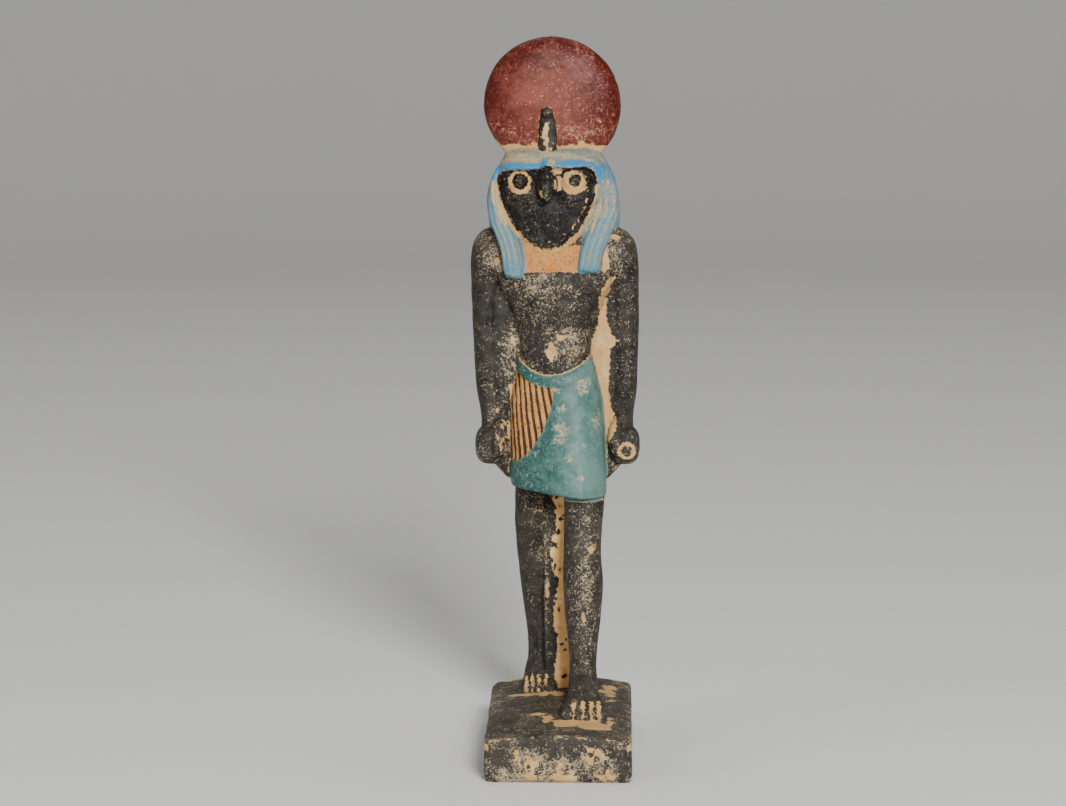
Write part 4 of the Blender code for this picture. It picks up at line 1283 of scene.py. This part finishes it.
def bare_faience():
    """The tan body under the paint: sandy, with pale bloom and brown stains, and darker towards deep
    brown in its hollows.
    """
    wiring, given, out = node_group(
        "bare_faience",
        {"Place": VECTOR, "Body": COLOUR, "Pale": COLOUR, "Deep": COLOUR, "Proud": 0.0},
        {"Color": COLOUR, "Grain": NUMBER},
    )
    place = given["Place"]
    bloom = wiring.rise(wiring.noise(place, 190, 5, 0.6), 0.42, 0.68)
    stain = wiring.rise(wiring.noise(place, 620, 5, 0.68), 0.52, 0.72, 0.0, 0.55)
    tone = wiring.blend(bloom, given["Body"], given["Pale"])
    tone = wiring.blend(stain, tone, given["Deep"])
    # Darker towards the deep brown where the surface lies in a hollow.
    hollow = wiring.rise(given["Proud"], -0.35, -1.0, 0.0, 0.22)
    tone = wiring.blend(hollow, tone, given["Deep"])
    grain = wiring.noise(place, 4200, 4, 0.7)
    links = wiring.tree.links.new
    links(tone, out["Color"])
    links(grain, out["Grain"])
    return wiring.tree


def lines_group():
    """Lines drawn across a run of millimetres: 1 in the middle of each, 0 between them."""
    wiring, given, out = node_group(
        "drawn_lines",
        {"Run": 0.0, "Pitch": 1.7, "Thin": 0.0, "Bold": 0.8, "Waver": 0.0},
        {"Lines": NUMBER},
    )
    moved = wiring.math("ADD", given["Run"], given["Waver"])
    turn = wiring.math("MULTIPLY", wiring.math("DIVIDE", moved, given["Pitch"]), math.tau)
    wave = wiring.math("COSINE", turn)
    wiring.tree.links.new(wiring.rise(wave, given["Thin"], given["Bold"]), out["Lines"])
    return wiring.tree


def painted_faience():
    """Tan faience under black, red, blue and teal paint, an ochre collar and brown pleat lines."""
    material = bpy.data.materials.new("painted_faience")
    material.use_nodes = True
    wiring = Wiring(material.node_tree)
    shader = material.node_tree.nodes["Principled BSDF"]
    links = material.node_tree.links.new
    place = wiring.node("ShaderNodeTexCoord").outputs["Object"]

    def reach(name):
        return wiring.node("ShaderNodeAttribute", attribute_name=name).outputs["Fac"]

    proud, worn = reach("proud"), reach("worn")
    stone = wiring.node("ShaderNodeGroup", node_tree=bare_faience())
    for name, value in (("Body", BARE), ("Pale", BARE_PALE), ("Deep", BARE_DEEP)):
        stone.inputs[name].default_value = value
    links(place, stone.inputs["Place"])
    links(proud, stone.inputs["Proud"])
    layer_tree, lines_tree = paint_layer(), lines_group()
    flaked = wiring.math("MULTIPLY_ADD", wiring.rise(proud, 0.1, 0.9), 0.11, worn)

    def lines(run, pitch, thin, bold):
        waver = wiring.math("SUBTRACT", wiring.noise(place, 160, 2), 0.5)
        waver = wiring.math("MULTIPLY", waver, 0.5)
        inputs = {"Run": reach(run), "Pitch": pitch, "Thin": thin, "Bold": bold, "Waver": waver}
        return wiring.node("ShaderNodeGroup", inputs, node_tree=lines_tree).outputs["Lines"]

    strands = lines("strand_run", STRAND_PITCH, 0.35, 0.95)
    pleat_lines = lines("pleat_run", PLEAT_PITCH, 0.0, 0.55)
    grooves = wiring.math("MULTIPLY_ADD", strands, 1.5, -1.0)
    grooves = wiring.math("MINIMUM", grooves, reach("strands"))
    pleated = wiring.math("MULTIPLY_ADD", pleat_lines, 1.6, -0.8)
    pleated = wiring.math("MINIMUM", pleated, reach("pleats"))

    # Painted light: the bare stone is brightened on the strip between the legs.
    painted_light_gain = wiring.math("MULTIPLY_ADD", reach("painted_light"), 0.8, 1.0)
    colour = wiring.node(
        "ShaderNodeVectorMath", {0: stone.outputs["Color"], "Scale": painted_light_gain}, operation="SCALE"
    ).outputs[0]
    height = 0.0
    roughness = wiring.rise(stone.outputs["Grain"], 0.3, 0.7, 0.68, 0.86)
    # Besides thin paint, thin holds painted light and shade on the disc and the kilt.
    thin = reach("thin")
    settings = ("Paint", "Thin Paint", "Flake", "Reach", "Ragged", "Worn", "Thin")
    coats = [
        ("black", 0.58, BLACK, BLACK_WORN, GREY_FLAKE, reach("black"), 0.45, flaked, thin),
        ("red", 0.50, RED, RED_PALE, RED_FLAKE, reach("red"), 0.40, worn, thin),
        ("ochre", 0.70, OCHRE, BARE, OCHRE_DEEP, reach("ochre"), 0.30, 0.33, thin),
        ("teal", 0.42, TEAL, TEAL_PALE, TEAL_FLAKE, reach("teal"), 0.16, worn, thin),
        ("blue", 0.46, BLUE, BLUE_PALE, BLUE_FLAKE, reach("blue"), 0.22, worn, thin),
        ("grooves", 0.60, GROOVE, BLUE_FLAKE, BLUE_PALE, grooves, 0.30, 0.30, 0.2),
        ("brown", 0.70, BROWN, BROWN, BARE, pleated, 0.16, 0.12, 0.0),
    ]
    for number, (name, coat_roughness, *values) in enumerate(coats):
        own_place = {0: place, 1: (0.31 * number, 0.17 * number, 0)}
        moved = wiring.node("ShaderNodeVectorMath", own_place).outputs[0]
        inputs = {"Place": moved, "Under": colour, "Height": height, **dict(zip(settings, values))}
        coat = wiring.node("ShaderNodeGroup", inputs, node_tree=layer_tree, label=name)
        colour, height = coat.outputs["Color"], coat.outputs["Height"]
        change = wiring.math("SUBTRACT", coat_roughness, roughness)
        change = wiring.math("MULTIPLY", coat.outputs["Cover"], change)
        roughness = wiring.math("ADD", roughness, change)

    dust = wiring.rise(wiring.noise(place, 2600, 4, 0.7), 0.58, 0.74)
    dust = wiring.math("MULTIPLY", dust, 0.12)
    colour = wiring.blend(dust, colour, DUST)
    shader.inputs["Specular IOR Level"].default_value = 0.2
    links(colour, shader.inputs["Base Color"])
    links(roughness, shader.inputs["Roughness"])
    grain = wiring.math("MULTIPLY_ADD", stone.outputs["Grain"], 0.5, height)
    bump = wiring.node("ShaderNodeBump", {"Strength": 0.35, "Distance": 0.00012, "Height": grain})
    links(bump.outputs["Normal"], shader.inputs["Normal"])
    return material


def studio():
    """A plain pale floor that sweeps up all round, and soft light from front, side and above."""
    flat, sweep, wall_top = 1.7, 0.8, 2.2
    profile = [(0, 0, 0), (flat, 0, 0)]
    for turn in np.linspace(0, math.pi / 2, 13)[1:]:
        profile.append((flat + sweep * math.sin(turn), 0, sweep - sweep * math.cos(turn)))
    profile.append((flat + sweep, 0, wall_top))
    bm = turned(profile, axis=(0, 0, 1), merge=1e-5)
    if sum(face.normal.z for face in bm.faces) < 0:
        bmesh.ops.reverse_faces(bm, faces=bm.faces)
    floor_mesh = bpy.data.meshes.new("floor")
    bm.to_mesh(floor_mesh)
    bm.free()
    floor_mesh.shade_smooth()
    floor = bpy.data.objects.new("floor", floor_mesh)
    bpy.context.scene.collection.objects.link(floor)
    material = bpy.data.materials.new("pale_floor")
    material.use_nodes = True
    shader = material.node_tree.nodes["Principled BSDF"]
    shader.inputs["Base Color"].default_value = (0.70, 0.695, 0.68, 1)
    shader.inputs["Roughness"].default_value = 0.9
    floor_mesh.materials.append(material)

    middle = Vector((0, 0, 0.11))
    for name, at, size, watts in (
        ("front", (0.30, -1.24, 0.70), 0.34, 29.0),
        ("side", (-1.1, -0.6, 0.6), 0.6, 2.5),
        ("above", (0.0, 0.6, 1.9), 1.6, 13.0),
    ):
        lamp = bpy.data.lights.new(name, "AREA")
        lamp.energy, lamp.size = watts, size
        obj = bpy.data.objects.new(name, lamp)
        obj.location = at
        obj.rotation_euler = (middle - Vector(at)).to_track_quat("-Z", "Y").to_euler()
        bpy.context.scene.collection.objects.link(obj)

    world = bpy.data.worlds.new("studio")
    world.use_nodes = True
    world.node_tree.nodes["Background"].inputs["Color"].default_value = (0.80, 0.81, 0.82, 1)
    world.node_tree.nodes["Background"].inputs["Strength"].default_value = 0.14
    bpy.context.scene.world = world


def camera():
    """The camera where the photograph was taken from."""
    eye, pitch, yaw = Vector((0.0188, -1.0, 0.24)), math.radians(7.455), math.radians(1.56)
    level = math.cos(pitch)
    forward = Vector((-math.sin(yaw) * level, math.cos(yaw) * level, -math.sin(pitch)))
    lens = bpy.data.cameras.new("camera")
    lens.lens, lens.sensor_width = 111.3, 36.0
    obj = bpy.data.objects.new("camera", lens)
    obj.location = eye
    obj.rotation_euler = forward.to_track_quat("-Z", "Y").to_euler()
    bpy.context.scene.collection.objects.link(obj)
    bpy.context.scene.camera = obj


figure = bpy.data.objects.new("painted_figure", figure_mesh())
figure.data.materials.clear()
figure.data.materials.append(painted_faience())
bpy.context.scene.collection.objects.link(figure)
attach(figure, "root")
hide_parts("deity_figure")
studio()
camera()
